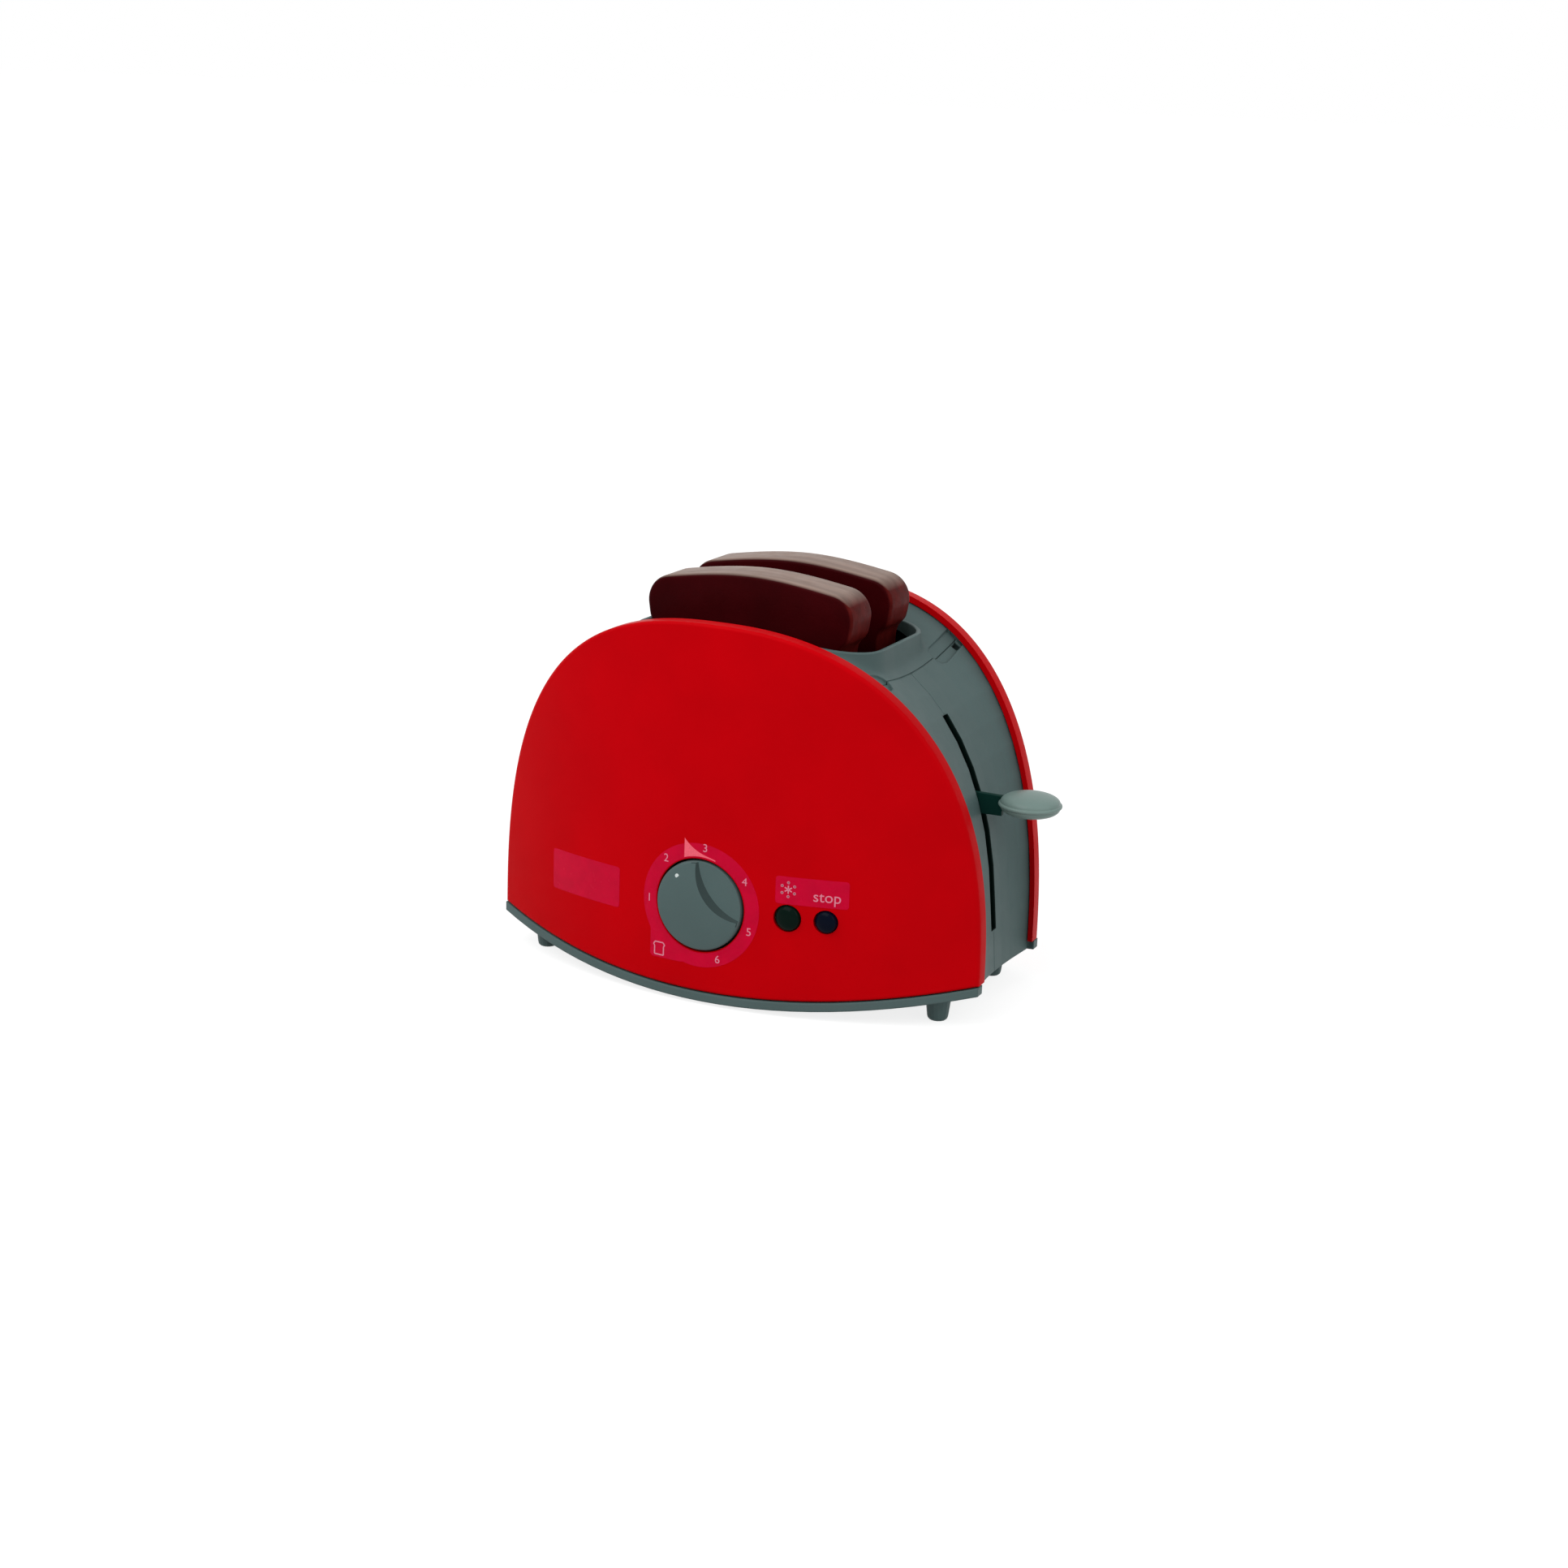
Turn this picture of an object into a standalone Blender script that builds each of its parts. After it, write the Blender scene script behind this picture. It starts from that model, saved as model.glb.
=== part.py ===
"""Toy pop-up toaster: two bowed red panels on a grey two-part housing, with a sprung carriage inside.

Lengths are in metres, +Z is up, the front with the dial faces -Y and the lever is at +X.
The housing is drawn about its own middle, and an empty moves it so that the whole is centred.
"""

import math

import bmesh
import bpy
from mathutils import Matrix, Vector

# Clearances and overruns
FIT_GAP = 0.0003
HALF_GAP = 0.0001
OVERRUN = 0.004
MERGE_DISTANCE = 0.000001

# Red panels: an arch in front view, bowed in plan, with a lower edge that droops
HALF_LENGTH = 0.0856
PANEL_HEIGHT = 0.1099
CORNER_HEIGHT = 0.0144
DROOP = 0.0100
END_HALF_DEPTH = 0.0282
BOW = 0.0228
PANEL_DEPTH = 0.0056
PANEL_WALL = 0.0020
PANEL_EDGE_RADIUS = 0.0012
ARCH_X_POWER = 2.388
ARCH_Z_POWER = 2.481
ARCH_STEPS = 28
ARCH_END_SHARES = (0.3, 0.6)
PEG_RADIUS = 0.0020
PEG_LENGTH = 0.0055
PEG_X_SHARE = 0.57
PEG_HEIGHT_SHARES = (0.16, 0.55)

# Grey housing halves: the end walls dip between the panels
BODY_WALL = 0.0018
BAND_DIP = 0.0040
FLARE = 0.0020
FLARE_HEIGHT = 0.0250
FLARE_X_POWER = 6
RIM_HEIGHT = 0.0032
RIM_LIP = 0.0004
BAND_STEP_SHARES = (0.0, 0.25, 0.5, 0.75, 1.0)

# Toast slices
TOAST_HALF_WIDTH = 0.0359
TOAST_HEIGHT = 0.0750
TOAST_THICKNESS = 0.0166
TOAST_GAP = 0.0157
TOAST_TOP = 0.1356
TOAST_NOTCH_DROP = 0.0215
TOAST_WAIST = 0.0042
TOAST_WAIST_SHARES = (0.25, 0.8)
TOAST_CROWN = 0.0030
TOAST_CROWN_SHARES = (0.0, 0.25, 0.5)
TOAST_CORNER = 0.0085
TOAST_FOOT_CORNER = 0.0030
TOAST_EDGE = 0.0012

# Top frame with the collar round the opening
OPENING_END_ROOM = 0.0055
OPENING_SIDE_ROOM = 0.0034
OPENING_CORNER = 0.0140
OPENING_LONG_STEPS = 8
OPENING_SHORT_STEPS = 3
OPENING_CORNER_STEPS = 4
COLLAR_ROUND = 0.0005
COLLAR_WALL = 0.0016
COLLAR_FLARE = 0.0025
COLLAR_INSET = 0.0010
SEAM_ROOM = 0.0011
RECESS_WIDTH = 0.0080
RECESS_DEPTH = 0.0009
RECESS_LENGTH = 0.0190
RECESS_ROUND_SHARES = (0.22, 0.57, 1.0)
CLIP_HOLE_LENGTH = 0.0040
CLIP_HOLE_WIDTH = 0.0026
CLIP_TAB_WIDTH = 0.0090
CLIP_TAB_THICKNESS = 0.0014
CLIP_TAB_REACH = 0.0050

# Base plate and feet
BASE_TOP = 0.0140
BASE_THICKNESS = 0.0020
BASE_END_ROOM = 0.0009
BASE_END_SHARES = (-0.75, -0.5, -0.25, 0.0, 0.25, 0.5, 0.75)
FOOT_X_SHARE = 0.8318
FOOT_Y = 0.0245
FOOT_TOP_RADIUS = 0.0048
FOOT_RADIUS = 0.0034
FOOT_ROUND = 0.0014
SCREW_X_SHARE = 0.6776
SCREW_POST_RADIUS = 0.0034
SCREW_POST_HEIGHT = 0.0200
SCREW_POST_STANDOFF_SHARE = 0.8
SCREW_RADIUS = 0.0014
SCREW_LENGTH = 0.0120
SCREW_HEAD_RADIUS = 0.0024
SCREW_HEAD_HEIGHT = 0.0018
SCREW_HEAD_TOP_SHARE = 0.75
SCREW_SLOT_WIDTH = 0.0006
SCREW_SLOT_DEPTH = 0.0007

# Inner chute and guide rods
CHUTE_STEP = 0.0003
CHUTE_WALL = 0.0015
CHUTE_CORNER = 0.0060
CHUTE_ARM_SLOT = 0.0046
ROD_RADIUS = 0.0015
ROD_STANDOFF = 0.0044
ROD_LUG_SHARE = 0.7061
ROD_LUG_THICKNESS = 0.0045
ROD_LUG_HALF_WIDTH = 0.0040
CHUTE_TOP_ROOM = 0.0008
SLIDE_GAP = 0.00015
BUSH_RADIUS = 0.0038
ROD_BOSS_RADIUS = 0.0033
ROD_BOSS_HEIGHT = 0.0030

# Carriage, lever and lift springs
TRAY_FLOOR = 0.0015
TRAY_LIP_HEIGHT = 0.0055
TRAY_LIP_WALL = 0.0011
TRAY_SIDE_ROOM = 0.0005
TRAY_END_ROOM = 0.0008
CRUMB_SLOTS = 5
CRUMB_SLOT_WIDTH = 0.0060
CRUMB_SLOT_SHARE = 0.62
SPINE_WIDTH = 0.0032
SPINE_DEPTH = 0.0035
BUSH_HEIGHT = 0.0140
LEVER_RISE = 0.0055
ARM_HEIGHT = 0.0079
ARM_THICKNESS = 0.0019
ARM_TIP_SHARE = 0.82
ARM_END_SHARE = 0.9
TENON_HEIGHT = 0.0030
TENON_LENGTH = 0.0110
DISC_REACH = 0.0040
DISC_RISE = 0.0017
DISC_RADIUS = 0.0102
DISC_THICKNESS = 0.0078
DISC_EDGE = 0.0012
DISC_STEPS = 5
DISC_DOME_POWER = 0.9
DISC_BOSS_LENGTH = 0.0060
DISC_BOSS_WIDTH = 0.0042
DISC_BOSS_DROP = 0.0018
SLIT_WIDTH = 0.0042
SLIT_BOTTOM = 0.0242
SLIT_TOP_SHARE = 0.7152
LIFT_DOWN = 0.0330
LIFT_UP = 0.0200
SPRING_WIRE = 0.0003
SPRING_RADIUS = 0.0027
SPRING_TURNS = 8
SPRING_POINTS = 8

# Dial: knob, shaft and clockwork
DIAL_X = -0.0014
DIAL_HEIGHT = 0.0333
KNOB_RADIUS = 0.0147
KNOB_PROUD = 0.0018
KNOB_DOME = 0.0009
KNOB_EDGE = 0.0008
KNOB_FACE_SHARE = 0.94
KNOB_RING_SHARES = (0.0, 0.34, 0.67)
KNOB_DEPTH = 0.0062
KNOB_GAP = 0.0008
KNOB_ANGLE = math.radians(-40)
SCOOP_RADIUS = 0.0220
SCOOP_DEPTH = 0.0032
GRIP_HALF_WIDTH = 0.0033
SHAFT_RADIUS = 0.0020
SHAFT_FLAT = 0.0006
SHAFT_GRIP = 0.0040
CASE_RADIUS = 0.0165
CASE_WALL = 0.0014
CASE_DEPTH = 0.0120
PLATE_ROOM = 0.0026
PLATE_THICKNESS = 0.0015
PLATE_EAR_REACH = 0.0048
PLATE_EAR_RADIUS = 0.0034
CASE_SCREW_LENGTH = 0.0038
GEAR_MODULE = 0.0005
GEAR_THICKNESS = 0.0018
GEAR_TIP_SHARE = 0.8
GEAR_ROOT_SHARE = 1.1
TOOTH_SHARES = (-0.31, -0.10, 0.10, 0.31)
DRIVE_TEETH = 30
PINION_TEETH = 10
GEAR_BACKLASH = 0.0001
PINION_LENGTH = 0.0024
ESCAPE_RADIUS = 0.0038
ESCAPE_TOOTH_SHARES = (0.80, 1.0, 0.93, 0.86)
MESH_TURN_SHARE = 0.17
ESCAPE_THICKNESS = 0.0008
ARBOR_RADIUS = 0.0006
MAINSPRING_WIDTH = 0.0040
MAINSPRING_THICKNESS = 0.0003
MAINSPRING_TURNS = 5
MAINSPRING_POINTS = 12

# Push buttons and the latch that the stop button frees
BUTTON_HEIGHT = 0.0333
DEFROST_X = 0.0282
DEFROST_RADIUS = 0.00415
STOP_X = 0.0403
STOP_RADIUS = 0.00355
BUTTON_PROUD = 0.0016
BUTTON_GAP = 0.0003
BUTTON_FLANGE = 0.0014
BUTTON_FLANGE_THICKNESS = 0.0014
BUTTON_BOSS_WALL = 0.0015
BUTTON_BOSS_REACH = 0.0018
BUTTON_DOME_SHARE = 0.45
BUTTON_ROUND_SHARES = (0.0, 0.29, 0.57, 0.86)
STOP_NUB_RADIUS = 0.0008
BUTTON_SPRING_RADIUS = 0.0021
BUTTON_SPRING_TURNS = 5
BUTTON_STUB_RADIUS = 0.0012
BUTTON_STUB_LENGTH = 0.0016
LATCH_X = 0.0355
LATCH_PIVOT_DROP = 0.0063
LATCH_STANDOFF = 0.0049
LATCH_BARREL_RADIUS = 0.0018
LATCH_PIN_RADIUS = 0.0008
LATCH_WIDTH = 0.0030
LATCH_THICKNESS = 0.0018
LATCH_EAR_THICKNESS = 0.0014
LATCH_NOSE_DROP = 0.0062
LATCH_NOSE_HEIGHT = 0.0022
LATCH_BITE = 0.0015
CATCH_HEIGHT = 0.0035
CATCH_RAMP = 0.0014
WINDOW_ROOM = 0.0006
STOP_SPRING_TURNS = 3
STOP_SPRING_SEAT_RADIUS = 0.0026
CATCH_REACH = 0.0028

# Round pieces: sides of a cylinder, by how large it is
FEW_SIDES = 8
SIDES = 16
ROUND_SIDES = 28
MANY_SIDES = 40

# Values that several pieces share
EDGE_INSET = PANEL_WALL + FIT_GAP
FRONT_WALL_INNER = EDGE_INSET + BODY_WALL
TOAST_Y = (TOAST_GAP + TOAST_THICKNESS) / 2
TOAST_BOTTOM = TOAST_TOP - TOAST_HEIGHT
LEVER_HEIGHT = TOAST_BOTTOM + LEVER_RISE
OPENING_X = TOAST_HALF_WIDTH + OPENING_END_ROOM
OPENING_Y = TOAST_Y + TOAST_THICKNESS / 2 + OPENING_SIDE_ROOM
SEAM_X = OPENING_X + COLLAR_WALL + COLLAR_FLARE + SEAM_ROOM
CHUTE_X = OPENING_X + CHUTE_STEP + CHUTE_WALL
CHUTE_Y = OPENING_Y + CHUTE_STEP + CHUTE_WALL
ROD_X = CHUTE_X + ROD_STANDOFF
DISC_X = HALF_LENGTH + DISC_REACH
DISC_HEIGHT = LEVER_HEIGHT + DISC_RISE
ARM_END = DISC_X - DISC_RADIUS * ARM_END_SHARE
FOOT_X = HALF_LENGTH * FOOT_X_SHARE
SCREW_X = HALF_LENGTH * SCREW_X_SHARE
SLIT_TOP = CORNER_HEIGHT + PANEL_HEIGHT * SLIT_TOP_SHARE
ROD_LUG_BOTTOM = CORNER_HEIGHT + PANEL_HEIGHT * ROD_LUG_SHARE
TRAY_TOP = TOAST_BOTTOM - FIT_GAP
CARRIAGE_TOP = LEVER_HEIGHT + ARM_HEIGHT / 2
BUSH_BOTTOM = CARRIAGE_TOP - BUSH_HEIGHT
CENTRE_X = (DISC_X + DISC_RADIUS - HALF_LENGTH) / 2
CENTRE_Y = -KNOB_PROUD / 2

GREY = (0.080, 0.122, 0.120)
DARK = (0.010, 0.016, 0.015)


def clear_scene():
    """Empties the scene that Blender starts with."""
    for obj in list(bpy.data.objects):
        bpy.data.objects.remove(obj)


def new_collection(name):
    collection = bpy.data.collections.new(name)
    bpy.context.scene.collection.children.link(collection)
    return collection


def new_material(name, colour, roughness, metallic=0.0):
    """A Principled surface of one colour."""
    material = bpy.data.materials.new(name)
    material.use_nodes = True
    shader = material.node_tree.nodes["Principled BSDF"]
    shader.inputs["Base Color"].default_value = (*colour, 1.0)
    shader.inputs["Roughness"].default_value = roughness
    shader.inputs["Metallic"].default_value = metallic
    return material


clear_scene()
PARTS = new_collection("toy_toaster")
CUTTERS = new_collection("toy_toaster_cutters")
RED_PLASTIC = new_material("red_plastic", (0.527, 0.002, 0.006), 0.30)
GREY_PLASTIC = new_material("grey_plastic", GREY, 0.42)
DARK_PLASTIC = new_material("dark_plastic", DARK, 0.45)
BUTTON_PLASTIC = new_material("button_plastic", (0.004, 0.007, 0.008), 0.18)
TOAST_PLASTIC = new_material("toast_plastic", (0.045, 0.006, 0.006), 0.38)
STEEL = new_material("steel", (0.58, 0.58, 0.57), 0.28, 1.0)
BRASS = new_material("brass", (0.62, 0.43, 0.16), 0.34, 1.0)

MIDDLE = bpy.data.objects.new("toaster_middle", None)
MIDDLE.location = (-CENTRE_X, -CENTRE_Y, 0.0)
PARTS.objects.link(MIDDLE)


def add_object(name, mesh, material=None, origin=(0.0, 0.0, 0.0)):
    """Puts a mesh, drawn about the housing's middle, in the scene with its origin where it turns."""
    mesh.transform(Matrix.Translation(-Vector(origin)))
    obj = bpy.data.objects.new(name, mesh)
    obj.location = origin
    obj.parent = MIDDLE
    if material:
        mesh.materials.append(material)
    PARTS.objects.link(obj)
    return obj


def as_cutter(obj):
    """Takes a shape off the model, so that it only shapes others."""
    PARTS.objects.unlink(obj)
    CUTTERS.objects.link(obj)
    obj.hide_render = True
    obj.display_type = "WIRE"
    return obj


def combine(target, other, operation):
    modifier = target.modifiers.new(f"{operation.lower()} {other.name}", "BOOLEAN")
    modifier.operation = operation
    modifier.solver = "EXACT"
    modifier.object = other
    if other.name not in CUTTERS.objects:
        as_cutter(other)
    return target


def cut(target, *others):
    for other in others:
        combine(target, other, "DIFFERENCE")
    return target


def join(target, *others):
    for other in others:
        combine(target, other, "UNION")
    return target


def keep(target, *others):
    for other in others:
        combine(target, other, "INTERSECT")
    return target


def shade(obj, degrees=35):
    """Smooth shading with sharp corners."""
    obj.data.shade_smooth()
    obj.data.set_sharp_from_angle(angle=math.radians(degrees))
    return obj


def mesh_from(build, name):
    bmesh.ops.recalc_face_normals(build, faces=build.faces)
    mesh = bpy.data.meshes.new(name)
    build.to_mesh(mesh)
    build.free()
    return mesh


def box(name, low, high, material=None, origin=(0.0, 0.0, 0.0)):
    """A block between two corners."""
    low, high = Vector(low), Vector(high)
    build = bmesh.new()
    bmesh.ops.create_cube(build, size=1.0)
    size = Matrix.Diagonal((*(high - low), 1.0))
    bmesh.ops.transform(build, verts=build.verts, matrix=Matrix.Translation((low + high) / 2) @ size)
    return add_object(name, mesh_from(build, name), material, origin)


def rod(name, start, end, radius, sides, material=None, end_radius=None, origin=(0.0, 0.0, 0.0)):
    """A round bar or a cone between two points."""
    start, end = Vector(start), Vector(end)
    run = end - start
    build = bmesh.new()
    bmesh.ops.create_cone(
        build,
        cap_ends=True,
        segments=sides,
        radius1=radius,
        radius2=radius if end_radius is None else end_radius,
        depth=run.length,
    )
    turn = run.to_track_quat("Z", "Y").to_matrix().to_4x4()
    bmesh.ops.transform(build, verts=build.verts, matrix=Matrix.Translation((start + end) / 2) @ turn)
    return shade(add_object(name, mesh_from(build, name), material, origin))


def turned(name, profile, centre, sides, material=None, facing_front=False, closed=False):
    """A profile of (radius, height) points, top to bottom on its outer side, swept round an axis.

    The axis is upright, or faces the front, with heights counted towards the front.
    """
    mesh = bpy.data.meshes.new(name)
    edges = [(i, i + 1) for i in range(len(profile) - 1)]
    if closed:
        edges.append((len(profile) - 1, 0))
    mesh.from_pydata([(radius, 0.0, height) for radius, height in profile], edges, [])
    obj = add_object(name, mesh, material)
    obj.location = centre
    if facing_front:
        obj.rotation_euler = (math.pi / 2, 0.0, 0.0)
    screw = obj.modifiers.new("turn", "SCREW")
    screw.steps = sides
    screw.render_steps = sides
    screw.use_merge_vertices = True
    screw.merge_threshold = MERGE_DISTANCE
    screw.use_smooth_shade = True
    return obj


def loft(name, rings, material=None, ladder=False, origin=(0.0, 0.0, 0.0)):
    """Skins a row of rings with as many points each, and closes both ends.

    A ladder end is for an arch: it joins the points above each other, so it may be bowed.
    """
    build = bmesh.new()
    loops = [[build.verts.new(point) for point in ring] for ring in rings]
    count = len(loops[0])
    for near, far in zip(loops, loops[1:]):
        for i in range(count):
            j = (i + 1) % count
            build.faces.new((near[i], near[j], far[j], far[i]))
    for loop in (loops[0], loops[-1]):
        if not ladder:
            build.faces.new(loop)
            continue
        half = count // 2
        lower = [loop[0]] + [loop[count - k] for k in range(1, half)] + [loop[half]]
        for k in range(half):
            rung = [loop[k], loop[k + 1], lower[k + 1], lower[k]]
            build.faces.new(list(dict.fromkeys(rung)))
    bmesh.ops.triangulate(build, faces=build.faces)
    return shade(add_object(name, mesh_from(build, name), material, origin))


def wire(name, points, radius, material, resolution=1, origin=(0.0, 0.0, 0.0)):
    """A round wire through points, made a mesh with its ends closed."""
    curve = bpy.data.curves.new(name, "CURVE")
    curve.dimensions = "3D"
    curve.bevel_depth = radius
    curve.bevel_resolution = resolution
    curve.use_fill_caps = True
    line = curve.splines.new("POLY")
    line.points.add(len(points) - 1)
    for spot, point in zip(line.points, points):
        spot.co = (*point, 1.0)
    guide = bpy.data.objects.new(f"{name} guide", curve)
    mesh = mesh_of_curve(guide)
    return shade(add_object(name, mesh, material, origin), 80)


def mesh_of_curve(guide):
    """Turns a curve object into a closed mesh and removes the curve."""
    CUTTERS.objects.link(guide)
    graph = bpy.context.evaluated_depsgraph_get()
    mesh = bpy.data.meshes.new_from_object(guide.evaluated_get(graph))
    build = bmesh.new()
    build.from_mesh(mesh)
    bmesh.ops.remove_doubles(build, verts=build.verts, dist=MERGE_DISTANCE)
    bmesh.ops.recalc_face_normals(build, faces=build.faces)
    build.to_mesh(mesh)
    build.free()
    bpy.data.objects.remove(guide)
    return mesh


def arc(centre, radius, start, end, steps):
    """Points of an arc, as (x, y) pairs, angles in degrees."""
    angles = [math.radians(start + (end - start) * i / steps) for i in range(steps + 1)]
    return [(centre[0] + radius * math.cos(a), centre[1] + radius * math.sin(a)) for a in angles]


def power(value, exponent):
    """A power that keeps the sign."""
    return math.copysign(abs(value) ** exponent, value)


def bow_depth(x):
    """How far a panel's outer face stands from the middle plane."""
    return END_HALF_DEPTH + BOW * (1 - (x / HALF_LENGTH) ** 2)


def droop_level(x):
    """Height of a panel's lower edge."""
    return CORNER_HEIGHT - DROOP * (1 - (x / HALF_LENGTH) ** 2)


def arch_height(x, inset):
    """Height of the arch above x, for an arch this far inside the panel's outline."""
    share = min(abs(x) / (HALF_LENGTH - inset), 1.0)
    return CORNER_HEIGHT + (PANEL_HEIGHT - inset) * (1 - share**ARCH_X_POWER) ** (1 / ARCH_Z_POWER)


def arch_outline(inset, raised):
    """(x, z) points: the arch from left to right, then the lower edge back, under the same x values."""
    half = HALF_LENGTH - inset
    places = [*range(ARCH_STEPS + 1), *ARCH_END_SHARES]
    places += [ARCH_STEPS - share for share in ARCH_END_SHARES]
    angles = [math.pi * (k / ARCH_STEPS - 0.5) for k in sorted(places)]
    across = [half * power(math.sin(a), 2 / ARCH_X_POWER) for a in angles]
    tops = [
        CORNER_HEIGHT + (PANEL_HEIGHT - inset) * abs(math.cos(a)) ** (2 / ARCH_Z_POWER)
        for a in angles
    ]
    floors = [droop_level(x) + raised for x in across]
    tops[0] = floors[0]
    tops[-1] = floors[-1]
    upper = list(zip(across, tops))
    lower = list(zip(across[-2:0:-1], floors[-2:0:-1]))
    return upper + lower


def panel_ring(inset, offset, side, raised=None):
    """An arch outline laid on the bowed face, moved in by offset."""
    outline = arch_outline(inset, inset if raised is None else raised)
    return [(x, side * (bow_depth(x) - offset), z) for x, z in outline]


def dip(share):
    """How far the grey band lies below its edges, by its share of the way to them."""
    return BAND_DIP * (1 - share**2)


def band_ring(share, inset, offset, side, raised):
    """A ring of the band between the panels: share is 0 at the middle plane and 1 at the panel."""
    ring = []
    half = HALF_LENGTH - inset
    for x, z in arch_outline(inset + dip(share), raised):
        low = max(0.0, 1 - (z - CORNER_HEIGHT) / FLARE_HEIGHT)
        flare = FLARE * (1 - share**2) * min(low, 1.0) ** 2 * (abs(x) / half) ** FLARE_X_POWER
        ring.append((x + math.copysign(flare, x), side * share * (bow_depth(x) - offset), z))
    return ring


def make_panel(name, side):
    """A bowed red shield: a shell with a rounded front edge, open below, and pegs inside."""
    rounding = arc((PANEL_EDGE_RADIUS, PANEL_EDGE_RADIUS), PANEL_EDGE_RADIUS, 180, 270, 3)
    rings = [panel_ring(0.0, PANEL_DEPTH, side)]
    rings += [panel_ring(inset, offset, side) for inset, offset in rounding]
    panel = loft(name, rings, RED_PLASTIC, ladder=True)
    hollow = [
        panel_ring(PANEL_WALL, PANEL_WALL, side, raised=-OVERRUN),
        panel_ring(PANEL_WALL, PANEL_DEPTH + OVERRUN, side, raised=-OVERRUN),
    ]
    cut(panel, loft(f"{name} hollow", hollow, ladder=True))
    for x, z in peg_places():
        face = bow_depth(x) - PANEL_WALL
        start = (x, side * (face + PANEL_WALL / 2), z)
        end = (x, side * (face - PEG_LENGTH), z)
        join(panel, rod(f"{name} peg {x:.3f} {z:.3f}", start, end, PEG_RADIUS, FEW_SIDES))
    return panel


def peg_places():
    """Where the pegs of a panel go through the housing's wall."""
    across = PEG_X_SHARE * HALF_LENGTH
    heights = [CORNER_HEIGHT + share * PANEL_HEIGHT for share in PEG_HEIGHT_SHARES]
    return [(sign * across, height) for sign in (-1, 1) for height in heights]


def make_rim(name, side):
    """The grey lip that shows under a panel."""
    rings = []
    for k in range(ARCH_STEPS + 1):
        x = HALF_LENGTH * (2 * k / ARCH_STEPS - 1)
        outer, inner = bow_depth(x), bow_depth(x) - FRONT_WALL_INNER + FIT_GAP
        top, bottom = droop_level(x) - FIT_GAP, droop_level(x) - RIM_HEIGHT
        section = ((outer, bottom), (outer, top), (inner, top), (inner, bottom))
        rings.append([(x, side * y, z) for y, z in section])
    return loft(name, rings)


def band_shell(name, side, inset, raised, start, last_offset):
    """A closed solid inside the band, from the middle plane to a flat wall behind the panel."""
    rings = [
        [(x, side * start, z) for x, _, z in band_ring(0.0, inset, PANEL_DEPTH, side, raised)]
    ]
    for share in BAND_STEP_SHARES[1:]:
        rings.append(band_ring(share, inset, PANEL_DEPTH, side, raised))
    rings.append(panel_ring(inset, last_offset, side, raised))
    return loft(name, rings, ladder=True)


def plan_prism(name, half_x, offset, low, high, material=None):
    """An upright prism between the two bows, this far inside the panels' outer faces."""
    steps = range(ARCH_STEPS + 1)
    across = [half_x * (2 * k / ARCH_STEPS - 1) for k in steps]
    outline = [(x, -(bow_depth(x) - offset)) for x in across]
    outline += [(x, bow_depth(x) - offset) for x in reversed(across)]
    return loft(name, [[(x, y, z) for x, y in outline] for z in (low, high)], material)


def make_half(name, side):
    """One half of the grey housing: end walls, the wall behind a panel and the lip under it."""
    half = band_shell(name, side, EDGE_INSET, RIM_LIP - RIM_HEIGHT, HALF_GAP / 2, EDGE_INSET)
    half.data.materials.append(GREY_PLASTIC)
    hollow = band_shell(
        f"{name} hollow",
        side,
        EDGE_INSET + BODY_WALL,
        -RIM_HEIGHT - OVERRUN,
        -OVERRUN,
        FRONT_WALL_INNER,
    )
    cut(half, hollow)
    top = CORNER_HEIGHT + PANEL_HEIGHT + OVERRUN
    low = arch_height(SEAM_X, EDGE_INSET + BAND_DIP + BODY_WALL) - OVERRUN
    half_seam = SEAM_X + FIT_GAP / 2
    cut(half, plan_prism(f"{name} top gap", half_seam, FRONT_WALL_INNER + SLIDE_GAP, low, top))
    join(half, make_rim(f"{name} rim", side))
    for sign in (-1, 1):
        join(half, make_screw_post(f"{name} post {sign}", sign, side))
    return half


def screw_place(sign, side):
    """Middle of a screw post, set into the wall behind a panel."""
    standoff = SCREW_POST_RADIUS * SCREW_POST_STANDOFF_SHARE
    return sign * SCREW_X, side * (bow_depth(SCREW_X) - FRONT_WALL_INNER - standoff)


def make_screw_post(name, sign, side):
    x, y = screw_place(sign, side)
    start = (x, y, BASE_TOP + FIT_GAP)
    end = (x, y, BASE_TOP + FIT_GAP + SCREW_POST_HEIGHT)
    return rod(name, start, end, SCREW_POST_RADIUS, SIDES)


def rounded_rectangle(half_x, half_y, corner):
    """(x, y) points of a rectangle with round corners, its sides divided to follow the arch."""
    quarter = arc((half_x - corner, half_y - corner), corner, 0, 90, OPENING_CORNER_STEPS)
    points = []
    for sign_x, sign_y in ((1, 1), (-1, 1), (-1, -1), (1, -1)):
        corner_points = [(sign_x * x, sign_y * y) for x, y in quarter]
        points += corner_points if sign_x * sign_y > 0 else corner_points[::-1]
    divided = []
    for here, after in zip(points, points[1:] + points[:1]):
        long_side = abs(here[0] - after[0]) > corner
        short_side = abs(here[1] - after[1]) > corner
        steps = OPENING_LONG_STEPS if long_side else OPENING_SHORT_STEPS if short_side else 1
        for k in range(steps):
            share = k / steps
            divided.append(tuple(a + (b - a) * share for a, b in zip(here, after)))
    return divided


def band_level(x, y, inset):
    """Height of the dipped band above a point of the plan, for a skin this far inside the panel's arch."""
    share = min(abs(y) / (bow_depth(x) - PANEL_DEPTH), 1.0)
    return arch_height(x, inset + dip(share))


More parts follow.
